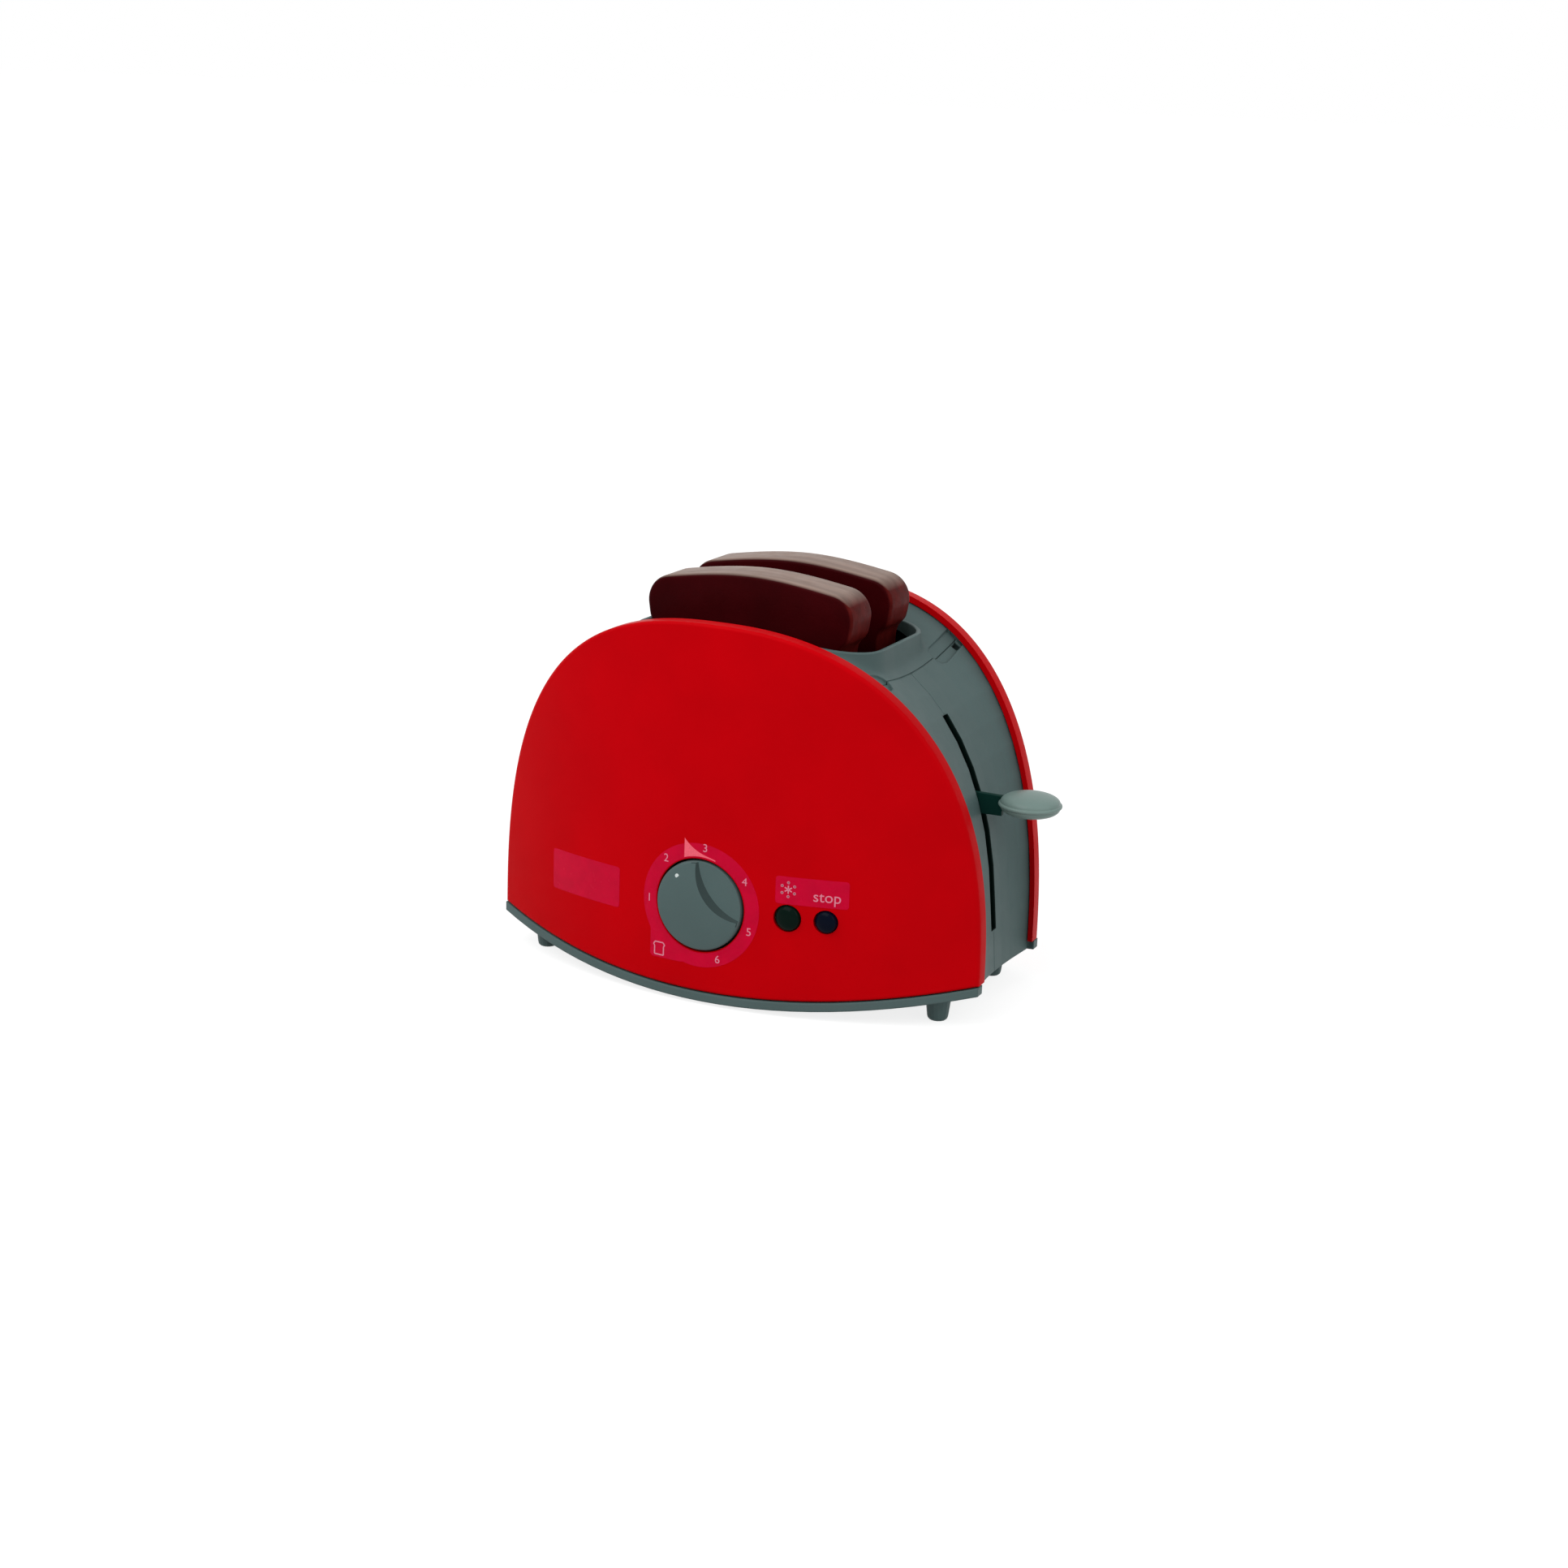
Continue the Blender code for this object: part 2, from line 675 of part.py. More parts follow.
def tube(name, rings, material=None):
    """Skins rings into a closed tube, with the last ring joined to the first."""
    build = bmesh.new()
    loops = [[build.verts.new(point) for point in ring] for ring in rings]
    count = len(loops[0])
    for near, far in zip(loops, loops[1:] + loops[:1]):
        for i in range(count):
            j = (i + 1) % count
            build.faces.new((near[i], near[j], far[j], far[i]))
    bmesh.ops.triangulate(build, faces=build.faces)
    return shade(add_object(name, mesh_from(build, name), material))


def opening_ring(offset, level):
    """The opening's outline, widened, each point at the height that level gives it."""
    outline = rounded_rectangle(OPENING_X + offset, OPENING_Y + offset, OPENING_CORNER + offset)
    return [(x, y, level(x, y)) for x, y in outline]


def make_collar():
    """The raised lip round the opening, wider at its foot."""
    foot = COLLAR_WALL + COLLAR_FLARE
    rings = [
        opening_ring(0.0, lambda x, y: band_level(x, y, EDGE_INSET + BODY_WALL)),
        opening_ring(0.0, lambda x, y: arch_height(x, COLLAR_INSET) - COLLAR_ROUND),
        opening_ring(COLLAR_WALL / 2, lambda x, y: arch_height(x, COLLAR_INSET)),
        opening_ring(COLLAR_WALL, lambda x, y: arch_height(x, COLLAR_INSET) - COLLAR_ROUND),
        opening_ring(foot, lambda x, y: band_level(x, y, EDGE_INSET)),
        opening_ring(foot, lambda x, y: band_level(x, y, EDGE_INSET + BODY_WALL / 2)),
    ]
    return tube("collar", rings)


def frame_rings(inset, side_offset, run_past):
    """Rings of the top frame's skin from the front panel to the rear one."""
    shares = BAND_STEP_SHARES[::-1] + BAND_STEP_SHARES[1:]
    sides = [-1] * len(BAND_STEP_SHARES) + [1] * (len(BAND_STEP_SHARES) - 1)
    rings = [band_ring(share, inset, side_offset, side, 0.0) for share, side in zip(shares, sides)]
    if run_past:
        for ring in (rings[0], rings[-1]):
            for i, (x, y, z) in enumerate(ring):
                ring[i] = (x, y + math.copysign(run_past, y), z)
    return rings


def make_top_frame():
    """The grey saddle between the seams, with the collar and its opening."""
    side_offset = FRONT_WALL_INNER + FIT_GAP
    frame = loft("top_frame", frame_rings(EDGE_INSET, side_offset, 0.0), GREY_PLASTIC, ladder=True)
    hollow_rings = frame_rings(EDGE_INSET + BODY_WALL, side_offset, OVERRUN)
    cut(frame, loft("top_frame hollow", hollow_rings, ladder=True))
    half_x = SEAM_X - FIT_GAP / 2
    reach = bow_depth(0.0) + OVERRUN
    low = arch_height(SEAM_X, EDGE_INSET + BAND_DIP + BODY_WALL) - OVERRUN
    top = CORNER_HEIGHT + PANEL_HEIGHT + OVERRUN
    keep(frame, box("top_frame span", (-half_x, -reach, low), (half_x, reach, top)))
    hole = [opening_ring(COLLAR_WALL, lambda x, y, z=z: z) for z in (low - OVERRUN, top)]
    cut(frame, loft("top_frame hole", hole))
    join(frame, make_collar())
    for sign in (-1, 1):
        for side in (-1, 1):
            join(frame, make_clip_tab(sign, side))
    return frame


def recess_span():
    """Where a recess starts and ends, as distances from the middle plane."""
    end = bow_depth(SEAM_X) - PANEL_DEPTH
    return end - RECESS_LENGTH, end


def make_clip_tab(sign, side):
    """A springy tab under the frame's end that hooks beneath the housing."""
    start, end = recess_span()
    middle = end - RECESS_LENGTH / 3
    near = EDGE_INSET + BODY_WALL / 2
    under = EDGE_INSET + BODY_WALL + FIT_GAP
    thick = BODY_WALL / 2 + FIT_GAP + CLIP_TAB_THICKNESS
    drop = thick / math.cos(math.atan(seam_slope()))
    rings = []
    for y in (middle - CLIP_TAB_WIDTH / 2, middle, middle + CLIP_TAB_WIDTH / 2):
        top = [
            (SEAM_X - CLIP_TAB_REACH, near),
            (SEAM_X - FIT_GAP - CLIP_TAB_THICKNESS, near),
            (SEAM_X - FIT_GAP, under),
            (SEAM_X + CLIP_TAB_REACH, under),
        ]
        edge = [(x, band_level(x, y, inset)) for x, inset in top]
        edge += [(x, band_level(x, y, near) - drop) for x, _ in reversed(top)]
        rings.append([(sign * x, side * y, z) for x, z in edge])
    return loft(f"clip tab {sign} {side}", rings)


def seam_slope():
    """How steeply the band falls at the seam, as a gradient."""
    step = FIT_GAP
    return (arch_height(SEAM_X, EDGE_INSET) - arch_height(SEAM_X + step, EDGE_INSET)) / step


def make_recess(sign, side):
    """A shallow trough across the seam, round at its inner end, that runs to the panel."""
    start, end = recess_span()
    radius = RECESS_WIDTH / 2
    lean = math.cos(math.atan(seam_slope()))
    turns = [share * math.pi / 2 for share in RECESS_ROUND_SHARES]
    stations = [(start + radius * (1 - math.cos(a)), radius * math.sin(a)) for a in turns]
    stations += [((start + end) / 2, radius), (end + RECESS_DEPTH * 2, radius)]
    rings = []
    for y, half_width in stations:
        run = half_width * lean
        section = []
        for x in (SEAM_X - run, SEAM_X + run):
            section.append((x, band_level(x, y, EDGE_INSET) - RECESS_DEPTH / lean))
        for x in (SEAM_X + run, SEAM_X - run):
            section.append((x, band_level(x, y, EDGE_INSET) + OVERRUN))
        rings.append([(sign * x, side * y, z) for x, z in section])
    return loft(f"recess {sign} {side}", rings)


def make_clip_hole(sign, side):
    """The small slot at a recess's outer end, through which the tab's end shows."""
    start, end = recess_span()
    y = end - CLIP_HOLE_LENGTH / 2
    x = SEAM_X + CLIP_HOLE_WIDTH / 2 + FIT_GAP
    top = band_level(x, y, EDGE_INSET) + OVERRUN
    low = band_level(x, y, EDGE_INSET + BODY_WALL) - FIT_GAP
    near = (x - CLIP_HOLE_WIDTH / 2, y - CLIP_HOLE_LENGTH / 2)
    far = (x + CLIP_HOLE_WIDTH / 2, y + CLIP_HOLE_LENGTH / 2)
    corners_x = sorted((sign * near[0], sign * far[0]))
    corners_y = sorted((side * near[1], side * far[1]))
    low_corner = (corners_x[0], corners_y[0], low)
    return box(f"clip hole {sign} {side}", low_corner, (corners_x[1], corners_y[1], top))


def end_wall_x(share):
    """How far out the end wall's inner face stands at its foot."""
    inset = EDGE_INSET + BODY_WALL
    half = HALF_LENGTH - inset
    x = half - dip(share)
    return x + FLARE * (1 - share**2) * (x / half) ** FLARE_X_POWER


def base_outline(clearance):
    """Plan of the room inside the housing's walls, in (x, y) points."""
    corner_x = end_wall_x(1.0) - clearance
    offset = FRONT_WALL_INNER + clearance
    corner_y = bow_depth(corner_x) - offset
    side_steps = ARCH_STEPS // 2
    across = [corner_x * (2 * k / side_steps - 1) for k in range(side_steps + 1)]
    end = [(end_wall_x(s) - BASE_END_ROOM, s * corner_y) for s in BASE_END_SHARES]
    front = [(x, -(bow_depth(x) - offset)) for x in across]
    rear = [(x, bow_depth(x) - offset) for x in reversed(across)]
    return front + end + rear + [(-x, -y) for x, y in end]


def make_base():
    """The flat base plate with its feet and the sockets of the guide rods."""
    low = BASE_TOP - BASE_THICKNESS
    outline = base_outline(FIT_GAP + SLIDE_GAP)
    base = loft("base_plate", [[(x, y, z) for x, y in outline] for z in (low, BASE_TOP)], GREY_PLASTIC)
    for sign in (-1, 1):
        for side in (-1, 1):
            foot_profile = [
                (0.0, BASE_TOP - BASE_THICKNESS / 2),
                (FOOT_TOP_RADIUS, BASE_TOP - BASE_THICKNESS / 2),
            ]
            foot_profile += arc((FOOT_RADIUS - FOOT_ROUND, FOOT_ROUND), FOOT_ROUND, 0, -90, 3)
            foot_profile.append((0.0, 0.0))
            place = (sign * FOOT_X, side * FOOT_Y, 0.0)
            join(base, turned(f"foot {sign} {side}", foot_profile, place, SIDES))
        boss = rod(
            f"rod boss {sign}",
            (sign * ROD_X, 0.0, low + BASE_THICKNESS / 4),
            (sign * ROD_X, 0.0, BASE_TOP + ROD_BOSS_HEIGHT),
            ROD_BOSS_RADIUS,
            SIDES,
        )
        join(base, boss)
        bore = rod(
            f"rod socket {sign}",
            (sign * ROD_X, 0.0, BASE_TOP - BASE_THICKNESS / 2),
            (sign * ROD_X, 0.0, BASE_TOP + ROD_BOSS_HEIGHT + OVERRUN),
            ROD_RADIUS + SLIDE_GAP,
            FEW_SIDES,
        )
        cut(base, bore)
    for sign in (-1, 1):
        for side in (-1, 1):
            cut(base, make_screw_hole(f"base hole {sign} {side}", sign, side, low - OVERRUN))
    return base


def make_screw_hole(name, sign, side, low):
    x, y = screw_place(sign, side)
    top = BASE_TOP + SCREW_LENGTH
    return rod(name, (x, y, low), (x, y, top), SCREW_RADIUS + SLIDE_GAP * 2, FEW_SIDES)


def make_screw(name, centre, axis, length):
    """A pan-head screw: its head's underside is at centre and its shank runs along axis."""
    centre, axis = Vector(centre), Vector(axis)
    head_top = centre - axis * SCREW_HEAD_HEIGHT
    shank_start = centre - axis * (SCREW_HEAD_HEIGHT / 2)
    screw = rod(name, shank_start, centre + axis * length, SCREW_RADIUS, FEW_SIDES, STEEL)
    top_radius = SCREW_HEAD_RADIUS * SCREW_HEAD_TOP_SHARE
    join(screw, rod(f"{name} head", centre, head_top, SCREW_HEAD_RADIUS, SIDES, end_radius=top_radius))
    slot_floor = head_top + axis * SCREW_SLOT_DEPTH
    across = Vector((1.0, 0.0, 0.0)) * (SCREW_HEAD_RADIUS + SCREW_HEAD_HEIGHT)
    spread = across + axis.cross(across).normalized() * (SCREW_SLOT_WIDTH / 2)
    ends = (slot_floor - spread, head_top + spread - axis * SCREW_HEAD_HEIGHT)
    low = [min(pair) for pair in zip(*ends)]
    high = [max(pair) for pair in zip(*ends)]
    return cut(screw, box(f"{name} slot", low, high))


def make_chute():
    """The dark sleeve under the opening, open above and below, that guides the slices and the rods."""
    bottom = BASE_TOP + FIT_GAP
    under = EDGE_INSET + BODY_WALL + CHUTE_TOP_ROOM
    outer = rounded_rectangle(CHUTE_X, CHUTE_Y, CHUTE_CORNER + CHUTE_WALL)
    inner = rounded_rectangle(CHUTE_X - CHUTE_WALL, CHUTE_Y - CHUTE_WALL, CHUTE_CORNER)
    rings = [
        [(x, y, bottom) for x, y in outer],
        [(x, y, band_level(x, y, under)) for x, y in outer],
        [(x, y, band_level(x, y, under)) for x, y in inner],
        [(x, y, bottom) for x, y in inner],
    ]
    chute = tube("chute", rings, DARK_PLASTIC)
    for sign in (-1, 1):
        near, far = sorted((sign * (CHUTE_X - CHUTE_WALL / 2), sign * (ROD_X + BUSH_RADIUS)))
        lug_top = ROD_LUG_BOTTOM + ROD_LUG_THICKNESS
        lug_low = (near, -ROD_LUG_HALF_WIDTH, ROD_LUG_BOTTOM)
        join(chute, box(f"rod lug {sign}", lug_low, (far, ROD_LUG_HALF_WIDTH, lug_top)))
        socket = rod(
            f"rod hole {sign}",
            (sign * ROD_X, 0.0, ROD_LUG_BOTTOM - OVERRUN),
            (sign * ROD_X, 0.0, lug_top - ROD_LUG_THICKNESS / 4),
            ROD_RADIUS + SLIDE_GAP,
            FEW_SIDES,
        )
        cut(chute, socket)
        near, far = sorted((sign * (CHUTE_X - CHUTE_WALL - OVERRUN), sign * (CHUTE_X + OVERRUN / 4)))
        slot_low = (near, -CHUTE_ARM_SLOT / 2, bottom - OVERRUN)
        cut(chute, box(f"arm slot {sign}", slot_low, (far, CHUTE_ARM_SLOT / 2, ROD_LUG_BOTTOM)))
    add_latch_mounts(chute)
    return chute


def catch_top():
    """Height of the catch's upper face with the carriage up."""
    return latch_nose_bottom() - FIT_GAP + LIFT_DOWN


def latch_nose_bottom():
    return BUTTON_HEIGHT - LATCH_PIVOT_DROP - LATCH_NOSE_DROP


def latch_pivot():
    """(y, z) of the latch's pin."""
    return -(CHUTE_Y + LATCH_STANDOFF), BUTTON_HEIGHT - LATCH_PIVOT_DROP


def latch_span():
    """X limits of the latch's barrel."""
    return LATCH_X - LATCH_WIDTH / 2, STOP_X + LATCH_WIDTH / 2


def add_latch_mounts(chute):
    """Window for the catch, ears for the latch's pin and seats for the two button springs."""
    half = LATCH_WIDTH / 2 + WINDOW_ROOM
    low = (LATCH_X - half, -CHUTE_Y - OVERRUN, BASE_TOP - OVERRUN)
    high = (LATCH_X + half, -CHUTE_Y + CHUTE_WALL + OVERRUN / 4, catch_top() + LIFT_UP + WINDOW_ROOM)
    cut(chute, box("catch window", low, high))
    pivot_y, pivot_z = latch_pivot()
    start, end = latch_span()
    for low_x in (start - FIT_GAP - LATCH_EAR_THICKNESS, end + FIT_GAP):
        ear_low = (low_x, pivot_y - LATCH_BARREL_RADIUS + FIT_GAP, pivot_z - LATCH_BARREL_RADIUS)
        ear_high = (low_x + LATCH_EAR_THICKNESS, ear_root(low_x), pivot_z + LATCH_BARREL_RADIUS)
        join(chute, box(f"latch ear {low_x:.4f}", ear_low, ear_high))
    pin_start = (start - LATCH_EAR_THICKNESS - OVERRUN, pivot_y, pivot_z)
    pin_end = (end + LATCH_EAR_THICKNESS + OVERRUN, pivot_y, pivot_z)
    cut(chute, rod("pin hole", pin_start, pin_end, LATCH_PIN_RADIUS + SLIDE_GAP, FEW_SIDES))
    seat_end = (STOP_X, -CHUTE_Y - FIT_GAP, BUTTON_HEIGHT)
    seat_start = (STOP_X, -CHUTE_Y + CHUTE_WALL * 2, BUTTON_HEIGHT)
    join(chute, rod("stop spring seat", seat_start, seat_end, STOP_SPRING_SEAT_RADIUS, FEW_SIDES))
    stub_start = (DEFROST_X, -CHUTE_Y + CHUTE_WALL / 2, BUTTON_HEIGHT)
    stub_end = (DEFROST_X, -CHUTE_Y - BUTTON_STUB_LENGTH, BUTTON_HEIGHT)
    join(chute, rod("defrost spring stub", stub_start, stub_end, BUTTON_STUB_RADIUS, FEW_SIDES))


def ear_root(x):
    """A y value inside the chute's front wall at x, also where the wall turns its corner."""
    past = max(0.0, x + LATCH_EAR_THICKNESS / 2 - (CHUTE_X - CHUTE_WALL - CHUTE_CORNER))
    radius = CHUTE_CORNER + CHUTE_WALL / 2
    drop = radius - math.sqrt(max(radius**2 - past**2, 0.0))
    return -(CHUTE_Y - CHUTE_WALL / 2 - drop)


def make_rod(name, sign):
    start = (sign * ROD_X, 0.0, BASE_TOP - BASE_THICKNESS / 2 + SLIDE_GAP)
    end = (sign * ROD_X, 0.0, ROD_LUG_BOTTOM + ROD_LUG_THICKNESS / 2)
    return rod(name, start, end, ROD_RADIUS, FEW_SIDES, STEEL)


def coil_points(centre, axis, length, radius, turns):
    """A helix with flat end turns, along the upright or the front-to-back axis."""
    points = []
    steps = turns * SPRING_POINTS
    for k in range(steps + 1):
        share = k / steps
        lift = length * (share - math.sin(2 * math.pi * share) / (2 * math.pi))
        angle = 2 * math.pi * k / SPRING_POINTS
        round_x, round_y = radius * math.cos(angle), radius * math.sin(angle)
        if axis == "Z":
            points.append((centre[0] + round_x, centre[1] + round_y, centre[2] + lift))
        else:
            points.append((centre[0] + round_x, centre[1] + lift, centre[2] + round_y))
    return points


def make_lift_spring(name, sign):
    """The spring round a guide rod, from the base's boss to the carriage's bush."""
    low = BASE_TOP + ROD_BOSS_HEIGHT + FIT_GAP + SPRING_WIRE
    length = BUSH_BOTTOM - FIT_GAP - SPRING_WIRE - low
    centre = (sign * ROD_X, 0.0, low)
    return wire(name, coil_points(centre, "Z", length, SPRING_RADIUS, SPRING_TURNS), SPRING_WIRE, STEEL)


def make_carriage():
    """The sled that carries both slices: two troughs, a spine, bushes, the lever's arm and the catch."""
    half_x = TOAST_HALF_WIDTH + TRAY_END_ROOM
    inner_y = TOAST_Y - TOAST_THICKNESS / 2 - TRAY_SIDE_ROOM
    outer_y = TOAST_Y + TOAST_THICKNESS / 2 + TRAY_SIDE_ROOM
    floor_low = TRAY_TOP - TRAY_FLOOR
    lip_top = TRAY_TOP + TRAY_LIP_HEIGHT
    wall_y = outer_y + TRAY_LIP_WALL
    carriage = box("carriage", (-half_x, -wall_y, floor_low), (half_x, wall_y, TRAY_TOP), DARK_PLASTIC)
    for side in (-1, 1):
        for near in (inner_y - TRAY_LIP_WALL, outer_y):
            span = sorted((side * near, side * (near + TRAY_LIP_WALL)))
            low = (-half_x, span[0], floor_low + TRAY_FLOOR / 2)
            join(carriage, box(f"tray lip {side} {near:.4f}", low, (half_x, span[1], lip_top)))
        pitch = 2 * half_x / CRUMB_SLOTS
        slot_y = TOAST_THICKNESS * CRUMB_SLOT_SHARE / 2
        for k in range(CRUMB_SLOTS):
            x = pitch * (k + 0.5) - half_x
            low = (x - CRUMB_SLOT_WIDTH / 2, side * TOAST_Y - slot_y, floor_low - OVERRUN / 4)
            high = (x + CRUMB_SLOT_WIDTH / 2, side * TOAST_Y + slot_y, TRAY_TOP + OVERRUN / 4)
            cut(carriage, box(f"crumb slot {side} {k}", low, high))
    spine_low = (-half_x, -SPINE_WIDTH / 2, floor_low - SPINE_DEPTH)
    join(carriage, box("spine", spine_low, (half_x, SPINE_WIDTH / 2, floor_low + TRAY_FLOOR / 2)))
    for sign in (-1, 1):
        near, far = sorted((sign * (half_x - TRAY_FLOOR), sign * ROD_X))
        low = (near, -SPINE_WIDTH / 2, BUSH_BOTTOM + FIT_GAP)
        join(carriage, box(f"end arm {sign}", low, (far, SPINE_WIDTH / 2, CARRIAGE_TOP - FIT_GAP)))
        bush_low = (sign * ROD_X, 0.0, BUSH_BOTTOM)
        bush_top = (sign * ROD_X, 0.0, CARRIAGE_TOP)
        join(carriage, rod(f"bush {sign}", bush_low, bush_top, BUSH_RADIUS, SIDES))
    add_lever_arm(carriage)
    for sign in (-1, 1):
        low = (sign * ROD_X, 0.0, BUSH_BOTTOM - OVERRUN)
        high = (sign * ROD_X, 0.0, CARRIAGE_TOP + OVERRUN)
        cut(carriage, rod(f"bush bore {sign}", low, high, ROD_RADIUS + FIT_GAP, FEW_SIDES))
    add_catch(carriage, outer_y)
    return carriage


def add_lever_arm(carriage):
    """A flat blade that tapers towards the disc and ends in a tenon inside it."""
    sections = (
        (ROD_X + ROD_RADIUS + FIT_GAP * 2, ARM_HEIGHT / 2 - FIT_GAP),
        (ARM_END, ARM_HEIGHT * ARM_TIP_SHARE / 2),
    )
    rings = [section_ring(x, ARM_THICKNESS / 2, half) for x, half in sections]
    join(carriage, loft("lever blade", rings))
    low = (ARM_END - FIT_GAP, -ARM_THICKNESS / 2, LEVER_HEIGHT - TENON_HEIGHT / 2)
    high = (ARM_END + TENON_LENGTH, ARM_THICKNESS / 2, LEVER_HEIGHT + TENON_HEIGHT / 2)
    join(carriage, box("lever tenon", low, high))


def section_ring(x, half_y, half_z):
    corners = ((-1, -1), (1, -1), (1, 1), (-1, 1))
    return [(x, a * half_y, LEVER_HEIGHT + b * half_z) for a, b in corners]


def add_catch(carriage, tray_edge):
    """The leg under the tray's front edge, with a catch that reaches out through the chute."""
    top = catch_top()
    low_x, high_x = LATCH_X - LATCH_WIDTH / 2, LATCH_X + LATCH_WIDTH / 2
    tip = -(CHUTE_Y + CATCH_REACH)
    leg_low = (low_x, -tray_edge - TRAY_LIP_WALL + FIT_GAP / 2, top - CATCH_HEIGHT + FIT_GAP / 2)
    leg_high = (high_x, -tray_edge + TRAY_LIP_WALL, TRAY_TOP - TRAY_FLOOR / 2)
    join(carriage, box("catch leg", leg_low, leg_high))
    root = -tray_edge + FIT_GAP
    bottom = top - CATCH_HEIGHT
    section = (
        (root, top),
        (tip, top),
        (tip, bottom + CATCH_RAMP),
        (tip + CATCH_RAMP, bottom),
        (root, bottom),
    )
    rings = [[(x, y, z) for y, z in section] for x in (low_x + FIT_GAP / 2, high_x - FIT_GAP / 2)]
    join(carriage, loft("catch", rings))


def make_lever_disc():
    """The lens-shaped thumb disc with a boss under its inner edge."""
    flat = DISC_THICKNESS / 2
    edge = DISC_EDGE / 2
    upper = [(0.0, flat)]
    for k in range(1, DISC_STEPS + 1):
        turn = math.pi / 2 * k / DISC_STEPS
        height = edge + (flat - edge) * max(math.cos(turn), 0.0) ** DISC_DOME_POWER
        upper.append(((DISC_RADIUS - edge) * math.sin(turn), height))
    rim = arc((DISC_RADIUS - edge, 0.0), edge, 60, -60, 2)
    profile = upper + rim + [(radius, -height) for radius, height in reversed(upper)]
    disc = turned("lever_disc", profile, (DISC_X, 0.0, DISC_HEIGHT), ROUND_SIDES, GREY_PLASTIC)
    boss_low = (ARM_END + FIT_GAP * 4, -DISC_BOSS_WIDTH / 2, DISC_HEIGHT - flat - DISC_BOSS_DROP / 2)
    boss_high = (ARM_END + DISC_BOSS_LENGTH, DISC_BOSS_WIDTH / 2, DISC_HEIGHT)
    join(disc, box("disc boss", boss_low, boss_high))
    half_y = ARM_THICKNESS / 2 + SLIDE_GAP
    half_z = TENON_HEIGHT / 2 + SLIDE_GAP
    low = (ARM_END - OVERRUN, -half_y, LEVER_HEIGHT - half_z)
    high = (ARM_END + TENON_LENGTH + FIT_GAP, half_y, LEVER_HEIGHT + half_z)
    cut(disc, box("tenon socket", low, high))
    notch_half = ARM_HEIGHT / 2 + FIT_GAP
    notch_low = (ARM_END - OVERRUN, -half_y, LEVER_HEIGHT - notch_half)
    notch_high = (ARM_END + FIT_GAP, half_y, LEVER_HEIGHT + notch_half)
    cut(disc, box("blade notch", notch_low, notch_high))
    return disc


def toast_outline():
    """Right half of a slice from its crown to its foot: a lobe, a notch and a straight side."""
    waist = TOAST_HALF_WIDTH - TOAST_WAIST
    crown = [
        (TOAST_HALF_WIDTH * share, TOAST_TOP - TOAST_CROWN * share**2)
        for share in TOAST_CROWN_SHARES
    ]
    shoulder_x = TOAST_HALF_WIDTH - TOAST_CORNER
    shoulder_z = TOAST_TOP - TOAST_CROWN - TOAST_CORNER
    shoulder = arc((shoulder_x, shoulder_z), TOAST_CORNER, 80, -10, 5)
    lobe_foot = TOAST_TOP - TOAST_NOTCH_DROP
    lobe_share, notch_share = TOAST_WAIST_SHARES
    under = [
        (TOAST_HALF_WIDTH - TOAST_WAIST * lobe_share, (shoulder_z + lobe_foot) / 2 - TOAST_WAIST / 4),
        (TOAST_HALF_WIDTH - TOAST_WAIST * notch_share, lobe_foot + TOAST_WAIST / 4),
        (waist, lobe_foot - TOAST_WAIST / 2),
    ]
    foot_centre = (waist - TOAST_FOOT_CORNER, TOAST_BOTTOM + TOAST_FOOT_CORNER)
    foot = arc(foot_centre, TOAST_FOOT_CORNER, 0, -90, 3)
    return crown + shoulder + under + foot


def make_toast(name, side):
    """A slice with a rounded crust, standing in its trough."""
    right = toast_outline()
    outline = right + [(-x, z) for x, z in reversed(right[1:])]
    rings = []
    half = TOAST_THICKNESS / 2
    rounding = arc((0.0, 0.0), 1.0, 180, 90, 3)
    steps = [(-half + TOAST_EDGE * (1 + c), TOAST_EDGE * (1 - s)) for c, s in rounding]
    steps += [(-y, inset) for y, inset in reversed(steps)]
    for y, inset in steps:
        rings.append([(x, side * TOAST_Y + y, z) for x, z in shrink(outline, inset)])
    return loft(name, rings, TOAST_PLASTIC)


def shrink(outline, inset):
    """Moves each point of a closed outline inwards, square to its neighbours."""
    moved = []
    for i, (x, z) in enumerate(outline):
        before, after = outline[i - 1], outline[(i + 1) % len(outline)]
        run = Vector((after[0] - before[0], after[1] - before[1])).normalized()
        moved.append((x + run.y * inset, z - run.x * inset))
    return moved


def dial_y(depth):
    """World y of a depth behind the bowed panel's foremost line."""
    return -(bow_depth(0.0) - depth)


def plate_y():
    return dial_y(FRONT_WALL_INNER + PLATE_ROOM)


